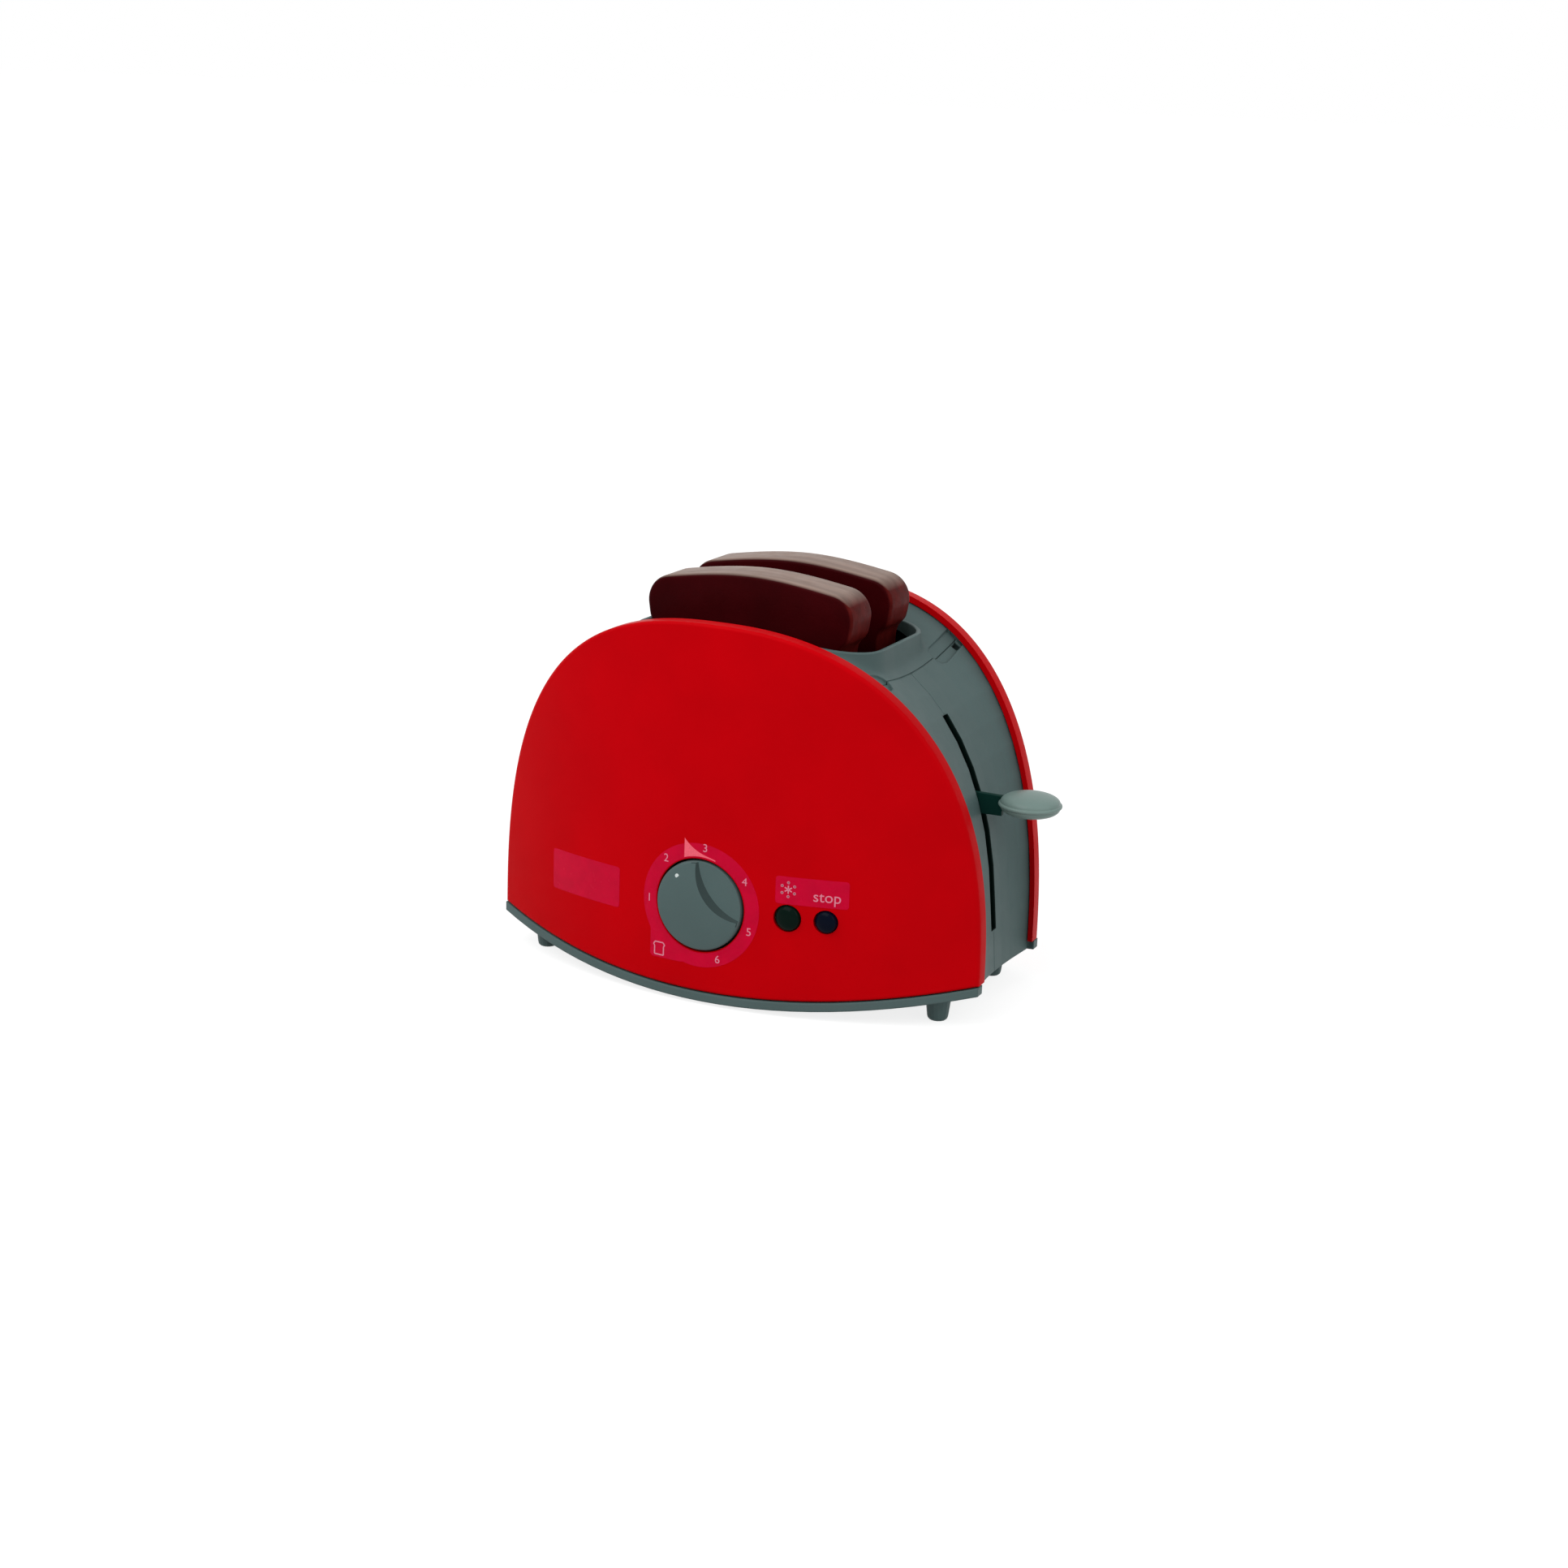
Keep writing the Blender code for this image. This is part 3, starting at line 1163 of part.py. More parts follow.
def make_knob():
    """The round knob, sunk into the panel, with a grip left between two scoops."""
    rim = KNOB_PROUD - KNOB_DOME
    face = KNOB_RADIUS * KNOB_FACE_SHARE
    top = [(face * share, KNOB_PROUD - KNOB_DOME * share**2) for share in KNOB_RING_SHARES]
    edge = arc((KNOB_RADIUS - KNOB_EDGE, rim - KNOB_EDGE), KNOB_EDGE, 75, 0, 3)
    foot = [(KNOB_RADIUS, KNOB_PROUD - KNOB_DEPTH), (0.0, KNOB_PROUD - KNOB_DEPTH)]
    centre = (DIAL_X, dial_y(0.0), DIAL_HEIGHT)
    profile = top + edge + foot
    knob = turned("timer_knob", profile, centre, MANY_SIDES, GREY_PLASTIC, facing_front=True)
    for sign in (-1, 1):
        across = SCOOP_RADIUS + GRIP_HALF_WIDTH
        x = DIAL_X + sign * across * math.cos(KNOB_ANGLE)
        z = DIAL_HEIGHT - sign * across * math.sin(KNOB_ANGLE)
        build = bmesh.new()
        bmesh.ops.create_uvsphere(build, u_segments=MANY_SIDES, v_segments=SIDES, radius=1.0)
        size = Matrix.Diagonal((SCOOP_RADIUS, SCOOP_RADIUS, SCOOP_DEPTH, 1.0))
        lay = Matrix.Rotation(math.pi / 2, 4, "X")
        place = Matrix.Translation((x, dial_y(-KNOB_PROUD), z))
        bmesh.ops.transform(build, verts=build.verts, matrix=place @ lay @ size)
        cut(knob, add_object(f"scoop {sign}", mesh_from(build, f"scoop {sign}")))
    back = dial_y(KNOB_DEPTH - KNOB_PROUD)
    bore_start = (DIAL_X, back - SHAFT_GRIP, DIAL_HEIGHT)
    bore_end = (DIAL_X, back + OVERRUN, DIAL_HEIGHT)
    bore = rod("knob bore", bore_start, bore_end, SHAFT_RADIUS + SLIDE_GAP, SIDES)
    cut(bore, shaft_flat("knob bore flat", back - SHAFT_GRIP - OVERRUN, back + OVERRUN * 2, SLIDE_GAP))
    cut(knob, bore)
    return knob


def shaft_flat(name, start, end, gap):
    """The block that a D-shaped shaft lacks."""
    low = (DIAL_X - SHAFT_RADIUS * 2, start, DIAL_HEIGHT + SHAFT_RADIUS - SHAFT_FLAT + gap)
    high = (DIAL_X + SHAFT_RADIUS * 2, end, DIAL_HEIGHT + SHAFT_RADIUS * 2)
    return box(name, low, high)


def case_back():
    """World y of the clockwork case's back face."""
    return plate_y() + PLATE_THICKNESS + FIT_GAP + CASE_DEPTH


def make_shaft():
    back = dial_y(KNOB_DEPTH - KNOB_PROUD)
    start = back - SHAFT_GRIP + FIT_GAP
    front_end = (DIAL_X, start, DIAL_HEIGHT)
    rear_end = (DIAL_X, case_back() - FIT_GAP, DIAL_HEIGHT)
    shaft = rod("timer_shaft", front_end, rear_end, SHAFT_RADIUS, SIDES, STEEL)
    cut(shaft, shaft_flat("shaft flat", start - OVERRUN, back + FIT_GAP, 0.0))
    return shaft


def make_case():
    """The clockwork's cup, open to the front."""
    radius, wall = CASE_RADIUS, CASE_WALL
    bearing = SHAFT_RADIUS + SLIDE_GAP
    profile = [
        (radius - wall, CASE_DEPTH),
        (radius, CASE_DEPTH),
        (radius, wall / 2),
        (radius - wall / 2, 0.0),
        (bearing, 0.0),
        (bearing, wall),
        (radius - wall, wall),
    ]
    centre = (DIAL_X, case_back(), DIAL_HEIGHT)
    style = {"material": DARK_PLASTIC, "facing_front": True, "closed": True}
    return turned("clock_case", profile, centre, ROUND_SIDES, **style)


def ear_places():
    """Centres of the clock plate's three ears, in (x, z)."""
    reach = CASE_RADIUS + PLATE_EAR_REACH
    angles = [math.radians(a) for a in (90, 210, 330)]
    return [(DIAL_X + reach * math.cos(a), DIAL_HEIGHT + reach * math.sin(a)) for a in angles]


def make_plate():
    """The clockwork's front plate, with an ear for each screw."""
    front, back = plate_y(), plate_y() + PLATE_THICKNESS
    disc_front = (DIAL_X, front, DIAL_HEIGHT)
    disc_back = (DIAL_X, back, DIAL_HEIGHT)
    plate = rod("clock_plate", disc_front, disc_back, CASE_RADIUS, ROUND_SIDES, BRASS)
    neck_length = PLATE_EAR_REACH + CASE_WALL
    hole_radius = SCREW_RADIUS + SLIDE_GAP * 2
    for i, (x, z) in enumerate(ear_places()):
        towards = Vector((DIAL_X - x, 0.0, DIAL_HEIGHT - z)).normalized() * neck_length
        ear = rod(f"plate ear {i}", (x, front, z), (x, back, z), PLATE_EAR_RADIUS, SIDES)
        neck = rod(
            f"plate neck {i}",
            (x + towards.x / 2, front, z + towards.z / 2),
            (x + towards.x / 2, back, z + towards.z / 2),
            PLATE_EAR_RADIUS,
            SIDES,
        )
        join(plate, ear, neck)
    for i, (x, z) in enumerate(ear_places()):
        hole_start = (x, front - OVERRUN, z)
        hole_end = (x, back + OVERRUN, z)
        cut(plate, rod(f"plate hole {i}", hole_start, hole_end, hole_radius, FEW_SIDES))
    centre_hole = ((DIAL_X, front - OVERRUN, DIAL_HEIGHT), (DIAL_X, back + OVERRUN, DIAL_HEIGHT))
    cut(plate, rod("plate bearing", *centre_hole, SHAFT_RADIUS + SLIDE_GAP, SIDES))
    return plate


def gear_outline(teeth, lead_share):
    """(x, z) points of a wheel with straight-sided teeth; lead_share turns it by part of a tooth."""
    pitch = GEAR_MODULE * teeth / 2
    tip = pitch + GEAR_MODULE * GEAR_TIP_SHARE
    root = pitch - GEAR_MODULE * GEAR_ROOT_SHARE
    return toothed_outline(teeth, lead_share, (root, tip, tip, root))


def toothed_outline(teeth, lead_share, radii):
    """(x, z) points of a wheel whose every tooth has one point for each radius."""
    points = []
    for k in range(teeth):
        for radius, share in zip(radii, TOOTH_SHARES):
            angle = 2 * math.pi * (k + lead_share + share) / teeth
            points.append((radius * math.cos(angle), radius * math.sin(angle)))
    return points


def make_pinion(front, arbor_end):
    """The pinion with its escape wheel and its arbor, in one piece."""
    x, z = pinion_centre()
    back = front + PINION_LENGTH
    wheel_back = back + ESCAPE_THICKNESS
    lead_share = -MESH_TURN_SHARE
    pinion = gear_outline(PINION_TEETH, lead_share)
    wheel_radii = [ESCAPE_RADIUS * share for share in ESCAPE_TOOTH_SHARES]
    wheel = toothed_outline(PINION_TEETH, lead_share, wheel_radii)
    arbor = toothed_outline(PINION_TEETH, lead_share, [ARBOR_RADIUS] * len(TOOTH_SHARES))
    stations = (
        (pinion, front),
        (pinion, back),
        (wheel, back),
        (wheel, wheel_back),
        (arbor, wheel_back),
        (arbor, arbor_end),
    )
    rings = [[(x + across, y, z + up) for across, up in outline] for outline, y in stations]
    return loft("escape_pinion", rings, BRASS, origin=(x, front, z))


def make_bored_gear(name, centre, front, thickness, outline, bore, teeth):
    """A toothed wheel with a hole, whose rim has one point for each tooth."""
    build = bmesh.new()
    origin = (centre[0], front, centre[1])
    count = len(outline)
    each = count // teeth
    first = math.atan2(outline[1][1] + outline[2][1], outline[1][0] + outline[2][0])
    angles = [first + 2 * math.pi * k / teeth for k in range(teeth)]
    rim = [(bore * math.cos(a), bore * math.sin(a)) for a in angles]
    outer, inner = [], []
    for y in (front, front + thickness):
        outer.append([build.verts.new((centre[0] + x, y, centre[1] + z)) for x, z in outline])
        inner.append([build.verts.new((centre[0] + x, y, centre[1] + z)) for x, z in rim])
    for i in range(count):
        j = (i + 1) % count
        build.faces.new((outer[0][i], outer[0][j], outer[1][j], outer[1][i]))
    for k in range(teeth):
        after = (k + 1) % teeth
        build.faces.new((inner[0][k], inner[0][after], inner[1][after], inner[1][k]))
        for near, far in zip(outer, inner):
            for i in range(k * each, (k + 1) * each):
                build.faces.new((near[i], near[(i + 1) % count], far[k]))
            build.faces.new((near[(k + 1) * each % count], far[after], far[k]))
    return shade(add_object(name, mesh_from(build, name), BRASS, origin))


def pinion_centre():
    distance = GEAR_MODULE * (DRIVE_TEETH + PINION_TEETH) / 2 + GEAR_BACKLASH
    return DIAL_X, DIAL_HEIGHT + distance


def make_clockwork():
    """The wheels inside the clock case and the mainspring."""
    inside = plate_y() + PLATE_THICKNESS
    gear_front = inside + FIT_GAP * 2
    outline = gear_outline(DRIVE_TEETH, DRIVE_TEETH / 4 % 1 + MESH_TURN_SHARE)
    bore = SHAFT_RADIUS + SLIDE_GAP
    centre = (DIAL_X, DIAL_HEIGHT)
    make_bored_gear("drive_gear", centre, gear_front, GEAR_THICKNESS, outline, bore, DRIVE_TEETH)
    make_pinion(inside + FIT_GAP, case_back() - CASE_WALL - FIT_GAP)
    make_mainspring(inside + FIT_GAP * 3 + PINION_LENGTH + ESCAPE_THICKNESS)


def make_mainspring(front):
    """A flat spring wound round the shaft."""
    inner = SHAFT_RADIUS + SLIDE_GAP * 2
    outer = GEAR_MODULE * (DRIVE_TEETH + PINION_TEETH) / 2 - ARBOR_RADIUS - FIT_GAP * 3
    back = front + MAINSPRING_WIDTH
    thick = MAINSPRING_THICKNESS
    steps = MAINSPRING_TURNS * MAINSPRING_POINTS
    rings = []
    for k in range(steps + 1):
        angle = 2 * math.pi * k / MAINSPRING_POINTS
        radius = inner + (outer - inner) * k / steps
        ring = []
        for reach, y in ((radius, front), (radius + thick, front), (radius + thick, back), (radius, back)):
            ring.append((DIAL_X + reach * math.cos(angle), y, DIAL_HEIGHT + reach * math.sin(angle)))
        rings.append(ring)
    return loft("mainspring", rings, STEEL)


def wall_back(x):
    """World y of the inner face of the wall behind the front panel."""
    return -(bow_depth(x) - FRONT_WALL_INNER)


def flange_front(x):
    return wall_back(x) + BUTTON_BOSS_REACH + FIT_GAP


def make_button(name, x, radius, back=None):
    """A domed push button with a flange inside; back is where its nub ends, if it has one."""
    flange = flange_front(x)
    centre = (x, flange, BUTTON_HEIGHT)
    tip = bow_depth(x) + BUTTON_PROUD + flange
    rise = radius * BUTTON_DOME_SHARE
    turns = [share * math.pi / 2 for share in BUTTON_ROUND_SHARES]
    dome = [(radius * math.sin(a), tip - rise * (1 - math.cos(a))) for a in turns]
    dome.append((radius, tip - rise))
    wide = radius + BUTTON_FLANGE
    profile = dome + [
        (radius, 0.0),
        (wide, 0.0),
        (wide, -BUTTON_FLANGE_THICKNESS),
    ]
    if back is not None:
        profile += [(STOP_NUB_RADIUS, -BUTTON_FLANGE_THICKNESS), (STOP_NUB_RADIUS, flange - back)]
        profile.append((0.0, flange - back))
    else:
        profile.append((0.0, -BUTTON_FLANGE_THICKNESS))
    return turned(name, profile, centre, SIDES, BUTTON_PLASTIC, facing_front=True)


def add_boss(half, name, end, radius):
    """A round boss inside the wall; its root follows the wall's bow."""
    boss = rod(name, (end[0], wall_back(0.0) - BODY_WALL, end[2]), end, radius, SIDES)
    low, high = (end[2] + sign * (radius + OVERRUN) for sign in (-1, 1))
    keep(boss, plan_prism(f"{name} root", SEAM_X, EDGE_INSET + BODY_WALL / 2, low, high))
    join(half, boss)


def add_button_boss(half, name, x, radius):
    """A short tube inside the wall, with a flat end for the flange, and the hole through it."""
    outer = radius + BUTTON_GAP + BUTTON_BOSS_WALL
    add_boss(half, f"{name} boss", (x, wall_back(x) + BUTTON_BOSS_REACH, BUTTON_HEIGHT), outer)


def make_button_hole(name, x, radius):
    start = (x, -bow_depth(0.0) - OVERRUN, BUTTON_HEIGHT)
    end = (x, wall_back(x) + BUTTON_BOSS_REACH + OVERRUN / 4, BUTTON_HEIGHT)
    return rod(f"{name} hole", start, end, radius + BUTTON_GAP, SIDES)


def make_latch():
    """The latch: a barrel on a pin, a tail behind the stop button and a nose over the catch."""
    pivot_y, pivot_z = latch_pivot()
    start, end = latch_span()
    origin = (0.0, pivot_y, pivot_z)
    barrel = ((start, pivot_y, pivot_z), (end, pivot_y, pivot_z))
    latch = rod("latch_hook", *barrel, LATCH_BARREL_RADIUS, SIDES, DARK_PLASTIC, origin=origin)
    half = LATCH_THICKNESS / 2
    tail_low = (STOP_X - LATCH_WIDTH / 2 + FIT_GAP / 2, pivot_y - half, pivot_z)
    tail_high = (end - FIT_GAP / 2, pivot_y + half, BUTTON_HEIGHT + STOP_NUB_RADIUS * 2)
    join(latch, box("latch tail", tail_low, tail_high))
    nose_low = latch_nose_bottom()
    leg_low = (start + FIT_GAP / 2, pivot_y - half, nose_low + FIT_GAP / 2)
    leg_high = (LATCH_X + LATCH_WIDTH / 2, pivot_y + half, pivot_z)
    join(latch, box("latch leg", leg_low, leg_high))
    tip = -(CHUTE_Y + CATCH_REACH - LATCH_BITE)
    section = (
        (pivot_y - half + FIT_GAP / 2, nose_low),
        (tip, nose_low),
        (tip, nose_low + LATCH_NOSE_HEIGHT / 2),
        (pivot_y + half, nose_low + LATCH_NOSE_HEIGHT),
        (pivot_y - half + FIT_GAP / 2, nose_low + LATCH_NOSE_HEIGHT),
    )
    sides = (start + FIT_GAP, LATCH_X + LATCH_WIDTH / 2 - FIT_GAP)
    rings = [[(x, y, z) for y, z in section] for x in sides]
    join(latch, loft("latch nose", rings))
    bore = ((start - OVERRUN, pivot_y, pivot_z), (end + OVERRUN, pivot_y, pivot_z))
    cut(latch, rod("latch bore", *bore, LATCH_PIN_RADIUS + SLIDE_GAP, FEW_SIDES))
    pin_start = (start - FIT_GAP - LATCH_EAR_THICKNESS, pivot_y, pivot_z)
    pin_end = (end + FIT_GAP + LATCH_EAR_THICKNESS, pivot_y, pivot_z)
    rod("latch_pin", pin_start, pin_end, LATCH_PIN_RADIUS, FEW_SIDES, STEEL)
    return latch


def make_button_springs():
    flange_back = flange_front(DEFROST_X) + BUTTON_FLANGE_THICKNESS
    start = flange_back + FIT_GAP + SPRING_WIRE
    length = -CHUTE_Y - FIT_GAP - SPRING_WIRE - start
    seat = (DEFROST_X, start, BUTTON_HEIGHT)
    points = coil_points(seat, "Y", length, BUTTON_SPRING_RADIUS, BUTTON_SPRING_TURNS)
    wire("defrost_spring", points, SPRING_WIRE, STEEL)
    start = latch_pivot()[0] + LATCH_THICKNESS / 2 + FIT_GAP + SPRING_WIRE
    length = -CHUTE_Y - FIT_GAP * 2 - SPRING_WIRE - start
    seat = (STOP_X, start, BUTTON_HEIGHT)
    points = coil_points(seat, "Y", length, BUTTON_SPRING_RADIUS, STOP_SPRING_TURNS)
    wire("latch_spring", points, SPRING_WIRE, STEEL)


def add_dial_hole(piece, name):
    start = (DIAL_X, dial_y(-OVERRUN), DIAL_HEIGHT)
    end = (DIAL_X, dial_y(FRONT_WALL_INNER + OVERRUN / 4), DIAL_HEIGHT)
    cut(piece, rod(name, start, end, KNOB_RADIUS + KNOB_GAP, MANY_SIDES))


def build_housing():
    front = make_half("body_front", -1)
    rear = make_half("body_rear", 1)
    frame = make_top_frame()
    front_panel = make_panel("front_panel", -1)
    make_panel("rear_panel", 1)
    add_button_boss(front, "defrost", DEFROST_X, DEFROST_RADIUS)
    add_button_boss(front, "stop", STOP_X, STOP_RADIUS)
    for i, (x, z) in enumerate(ear_places()):
        add_boss(front, f"clock boss {i}", (x, plate_y() - FIT_GAP, z), PLATE_EAR_RADIUS)
        hole_start = (x, wall_back(x) - BODY_WALL / 2, z)
        hole_end = (x, plate_y() + OVERRUN, z)
        cut(front, rod(f"clock boss hole {i}", hole_start, hole_end, SCREW_RADIUS + SLIDE_GAP, FEW_SIDES))
    for name, x, radius in (("defrost", DEFROST_X, DEFROST_RADIUS), ("stop", STOP_X, STOP_RADIUS)):
        hole = make_button_hole(name, x, radius)
        cut(front, hole)
        cut(front_panel, hole)
    add_dial_hole(front, "dial hole inner")
    add_dial_hole(front_panel, "dial hole outer")
    for half, side in ((front, -1), (rear, 1)):
        for x, z in peg_places():
            face = bow_depth(x)
            start = (x, side * face, z)
            end = (x, side * (face - FRONT_WALL_INNER - OVERRUN / 4), z)
            name = f"peg hole {side} {x:.3f} {z:.3f}"
            cut(half, rod(name, start, end, PEG_RADIUS + FIT_GAP, FEW_SIDES))
        for sign in (-1, 1):
            x, y = screw_place(sign, side)
            low = (x, y, BASE_TOP - OVERRUN)
            top = (x, y, BASE_TOP + SCREW_LENGTH)
            name = f"post bore {sign} {side}"
            cut(half, rod(name, low, top, SCREW_RADIUS + SLIDE_GAP * 2, FEW_SIDES))
            recess = make_recess(sign, side)
            hole = make_clip_hole(sign, side)
            cut(half, recess, hole)
            cut(frame, recess)
    slit_low = (CHUTE_X + CHUTE_WALL, -SLIT_WIDTH / 2, SLIT_BOTTOM)
    slit = box("lever slit", slit_low, (HALF_LENGTH + OVERRUN, SLIT_WIDTH / 2, SLIT_TOP))
    cut(front, slit)
    cut(rear, slit)


def build_inside():
    make_base()
    make_chute()
    for name, sign in (("left", -1), ("right", 1)):
        make_rod(f"guide_rod_{name}", sign)
        make_lift_spring(f"lift_spring_{name}", sign)
    make_carriage()
    make_lever_disc()
    make_toast("toast_front", -1)
    make_toast("toast_rear", 1)
    number = 0
    for sign in (-1, 1):
        for side in (-1, 1):
            number += 1
            x, y = screw_place(sign, side)
            underside = BASE_TOP - BASE_THICKNESS - FIT_GAP
            length = SCREW_LENGTH + BASE_THICKNESS - SLIDE_GAP * 2
            make_screw(f"base_screw_{number}", (x, y, underside), (0, 0, 1), length)


def build_controls():
    make_knob()
    make_shaft()
    make_plate()
    make_case()
    make_clockwork()
    for i, (x, z) in enumerate(ear_places()):
        back = plate_y() + PLATE_THICKNESS + FIT_GAP
        make_screw(f"clock_screw_{i + 1}", (x, back, z), (0, -1, 0), CASE_SCREW_LENGTH)
    make_button("defrost_button", DEFROST_X, DEFROST_RADIUS)
    nub_end = latch_pivot()[0] - LATCH_THICKNESS / 2 - FIT_GAP
    make_button("stop_button", STOP_X, STOP_RADIUS, nub_end)
    make_latch()
    make_button_springs()


build_housing()
build_inside()
build_controls()
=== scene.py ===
"""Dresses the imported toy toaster: its moulded pieces, printed labels, camera and stage."""

import math

import bmesh
import bpy
from mathutils import Matrix, Vector


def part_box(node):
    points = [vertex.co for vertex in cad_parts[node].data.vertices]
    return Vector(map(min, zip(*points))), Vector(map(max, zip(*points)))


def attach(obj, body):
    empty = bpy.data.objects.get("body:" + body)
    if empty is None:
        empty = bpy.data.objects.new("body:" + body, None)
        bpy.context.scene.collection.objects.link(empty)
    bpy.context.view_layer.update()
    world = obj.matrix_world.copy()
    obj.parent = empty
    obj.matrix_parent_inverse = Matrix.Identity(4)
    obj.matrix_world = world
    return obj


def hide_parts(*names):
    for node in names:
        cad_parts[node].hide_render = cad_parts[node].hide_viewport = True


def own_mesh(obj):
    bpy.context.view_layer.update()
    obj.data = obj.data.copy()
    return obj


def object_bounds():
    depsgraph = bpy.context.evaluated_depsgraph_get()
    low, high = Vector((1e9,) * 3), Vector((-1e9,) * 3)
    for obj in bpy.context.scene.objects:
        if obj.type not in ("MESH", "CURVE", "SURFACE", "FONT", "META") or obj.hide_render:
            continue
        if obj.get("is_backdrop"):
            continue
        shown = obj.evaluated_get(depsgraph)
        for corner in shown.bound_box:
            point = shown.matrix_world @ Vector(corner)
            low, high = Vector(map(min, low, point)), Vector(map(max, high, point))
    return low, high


bl_info = {
    "name": "Toy Toaster Dressing",
    "version": (1, 0, 0),
    "blender": (4, 5, 0),
    "location": "3D View > Sidebar > Toy Toaster",
    "description": "Builds the toy toaster's finished pieces round its packed solids",
    "category": "Object",
}

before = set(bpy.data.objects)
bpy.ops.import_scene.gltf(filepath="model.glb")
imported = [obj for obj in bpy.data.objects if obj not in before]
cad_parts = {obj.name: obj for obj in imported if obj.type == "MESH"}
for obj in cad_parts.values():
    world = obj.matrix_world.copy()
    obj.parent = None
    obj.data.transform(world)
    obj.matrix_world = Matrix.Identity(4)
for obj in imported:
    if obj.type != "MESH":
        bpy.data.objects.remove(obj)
CAD_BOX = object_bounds()


def middle_of(node):
    low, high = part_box(node)
    return (low + high) / 2


# The housing's own middle, about which its shapes are drawn
MIDDLE = Vector((middle_of("front_panel").x, middle_of("top_frame").y, 0.0))

# Red panels
HALF_LENGTH = (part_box("front_panel")[1].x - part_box("front_panel")[0].x) / 2
PANEL_HEIGHT = 0.1099
CORNER_HEIGHT = 0.0144
DROOP = 0.0100
END_HALF_DEPTH = 0.0282
BOW = 0.0228
PANEL_DEPTH = 0.0056
PANEL_WALL = 0.0020
ARCH_X_POWER = 2.388
ARCH_Z_POWER = 2.481
FINE_STEPS = 120
END_SHARES = (0.3, 0.6)
EDGE_STEPS = 6
HOLE_SIDES = 96
OVERRUN = 0.004

# Knob and buttons
DIAL_X = -0.0014
DIAL_HEIGHT = 0.0333
KNOB_RADIUS = 0.0147
KNOB_PROUD = 0.0018
KNOB_DOME = 0.0009
KNOB_DOME_RADIUS = KNOB_RADIUS * 0.945
KNOB_DEPTH = 0.0062
KNOB_GAP = 0.0008
KNOB_ANGLE = math.radians(-40)
KNOB_EDGE = 0.0008
KNOB_SIDES = 128
SCOOP_RADIUS = 0.0224
SCOOP_SLOPE = 0.0019
SCOOP_DEPTH = 0.0014
SCOOP_ROUND = 0.0004
SCOOP_SIDES = 360
SPOT_REACH = 0.0117
SPOT_PROFILE = ((0.0, 0.00005), (0.0007, 0.00003), (0.00075, -0.0002), (0.0, -0.0002))
BUTTON_HEIGHT = 0.0333
BUTTON_GAP = 0.0003
BUTTON_PROUD = 0.0016
BUTTON_SAG_SHARE = 0.45
BUTTON_DOME_TURN = math.radians(78)
DEFROST_X = 0.0282
DEFROST_RADIUS = 0.00415
STOP_X = 0.0403
STOP_RADIUS = 0.00355

# Springs; KEEP is the share of its length that a spring has at the limit
COIL_WIRE = 0.0003
COIL_STEPS = 24
COIL_SIDES = 8
ROD_X = 0.0476
LIFT_SEAT = 0.01764
LIFT_LENGTH = 0.03777
LIFT_RADIUS = 0.0027
LIFT_TURNS = 8
LIFT_KEEP = 0.135
LATCH_SEAT = -0.03305
LATCH_LENGTH = 0.00248
LATCH_RADIUS = 0.0021
LATCH_TURNS = 3
LATCH_KEEP = 0.20
UPWARD = Vector((0.0, 0.0, 1.0))
BACKWARD = Vector((0.0, 1.0, 0.0))

# Slices
SLICE_HALF_WIDTH = 0.0359
SLICE_TOP = 0.1356
SLICE_BOTTOM = 0.0606
SLICE_THICKNESS = 0.0166
SLICE_Y = 0.01615
SLICE_NOTCH_DROP = 0.0215
SLICE_WAIST = 0.0042
SLICE_CROWN = 0.0030
SLICE_CORNER = 0.0085
SLICE_CORNER_START = 80
SLICE_FOOT_CORNER = 0.0030
CROWN_STEPS = 20

# Grey saddle and the collar round its opening
FIT_GAP = 0.0003
EDGE_INSET = PANEL_WALL + FIT_GAP
BODY_WALL = 0.0018
BAND_DIP = 0.0040
SADDLE_SAG = 0.0022
SAG_SHARE = 0.6
OPENING_X = SLICE_HALF_WIDTH + 0.0055
OPENING_Y = SLICE_Y + SLICE_THICKNESS / 2 + 0.0034
OPENING_CORNER = 0.0140
COLLAR_WALL = 0.0016
COLLAR_FLARE = 0.0025
COLLAR_ROUND = 0.0005
COLLAR_INSET = 0.0010
COLLAR_CREST = 0.1175
COLLAR_POWER = 5
FOOT_SHARES = (0.0, 0.03, 0.07, 0.12, 0.18, 0.26, 0.36, 0.5, 0.7, 1.0)
APRON_SHARES = (0.2, 0.45, 0.7, 1.0)
APRON_SPREAD_X = 1.12
APRON_SPREAD_Y = 1.25
SEAM_X = OPENING_X + COLLAR_WALL + COLLAR_FLARE + 0.0011
RECESS_WIDTH = 0.0080
RECESS_DEPTH = 0.0009
RECESS_LENGTH = 0.0190
RECESS_ROUND_SHARES = (0.22, 0.57, 1.0)
END_STEPS = 6
CORNER_STEPS = 16
SIDE_STEPS = 16

# Lever disc
DISC_X = HALF_LENGTH + 0.0040
DISC_RADIUS = 0.0102
DISC_THICKNESS = 0.0078
DISC_EDGE = 0.0012
DISC_DOME_POWER = 0.9
DISC_DOME_STEPS = 14
DISC_HEIGHT = 0.0678

# Lever slit in the right end wall
SLIT_WIDTH = 0.0042
SLIT_BOTTOM = 0.0242
SLIT_TOP = 0.0930
SLIT_ROOM = 0.00003

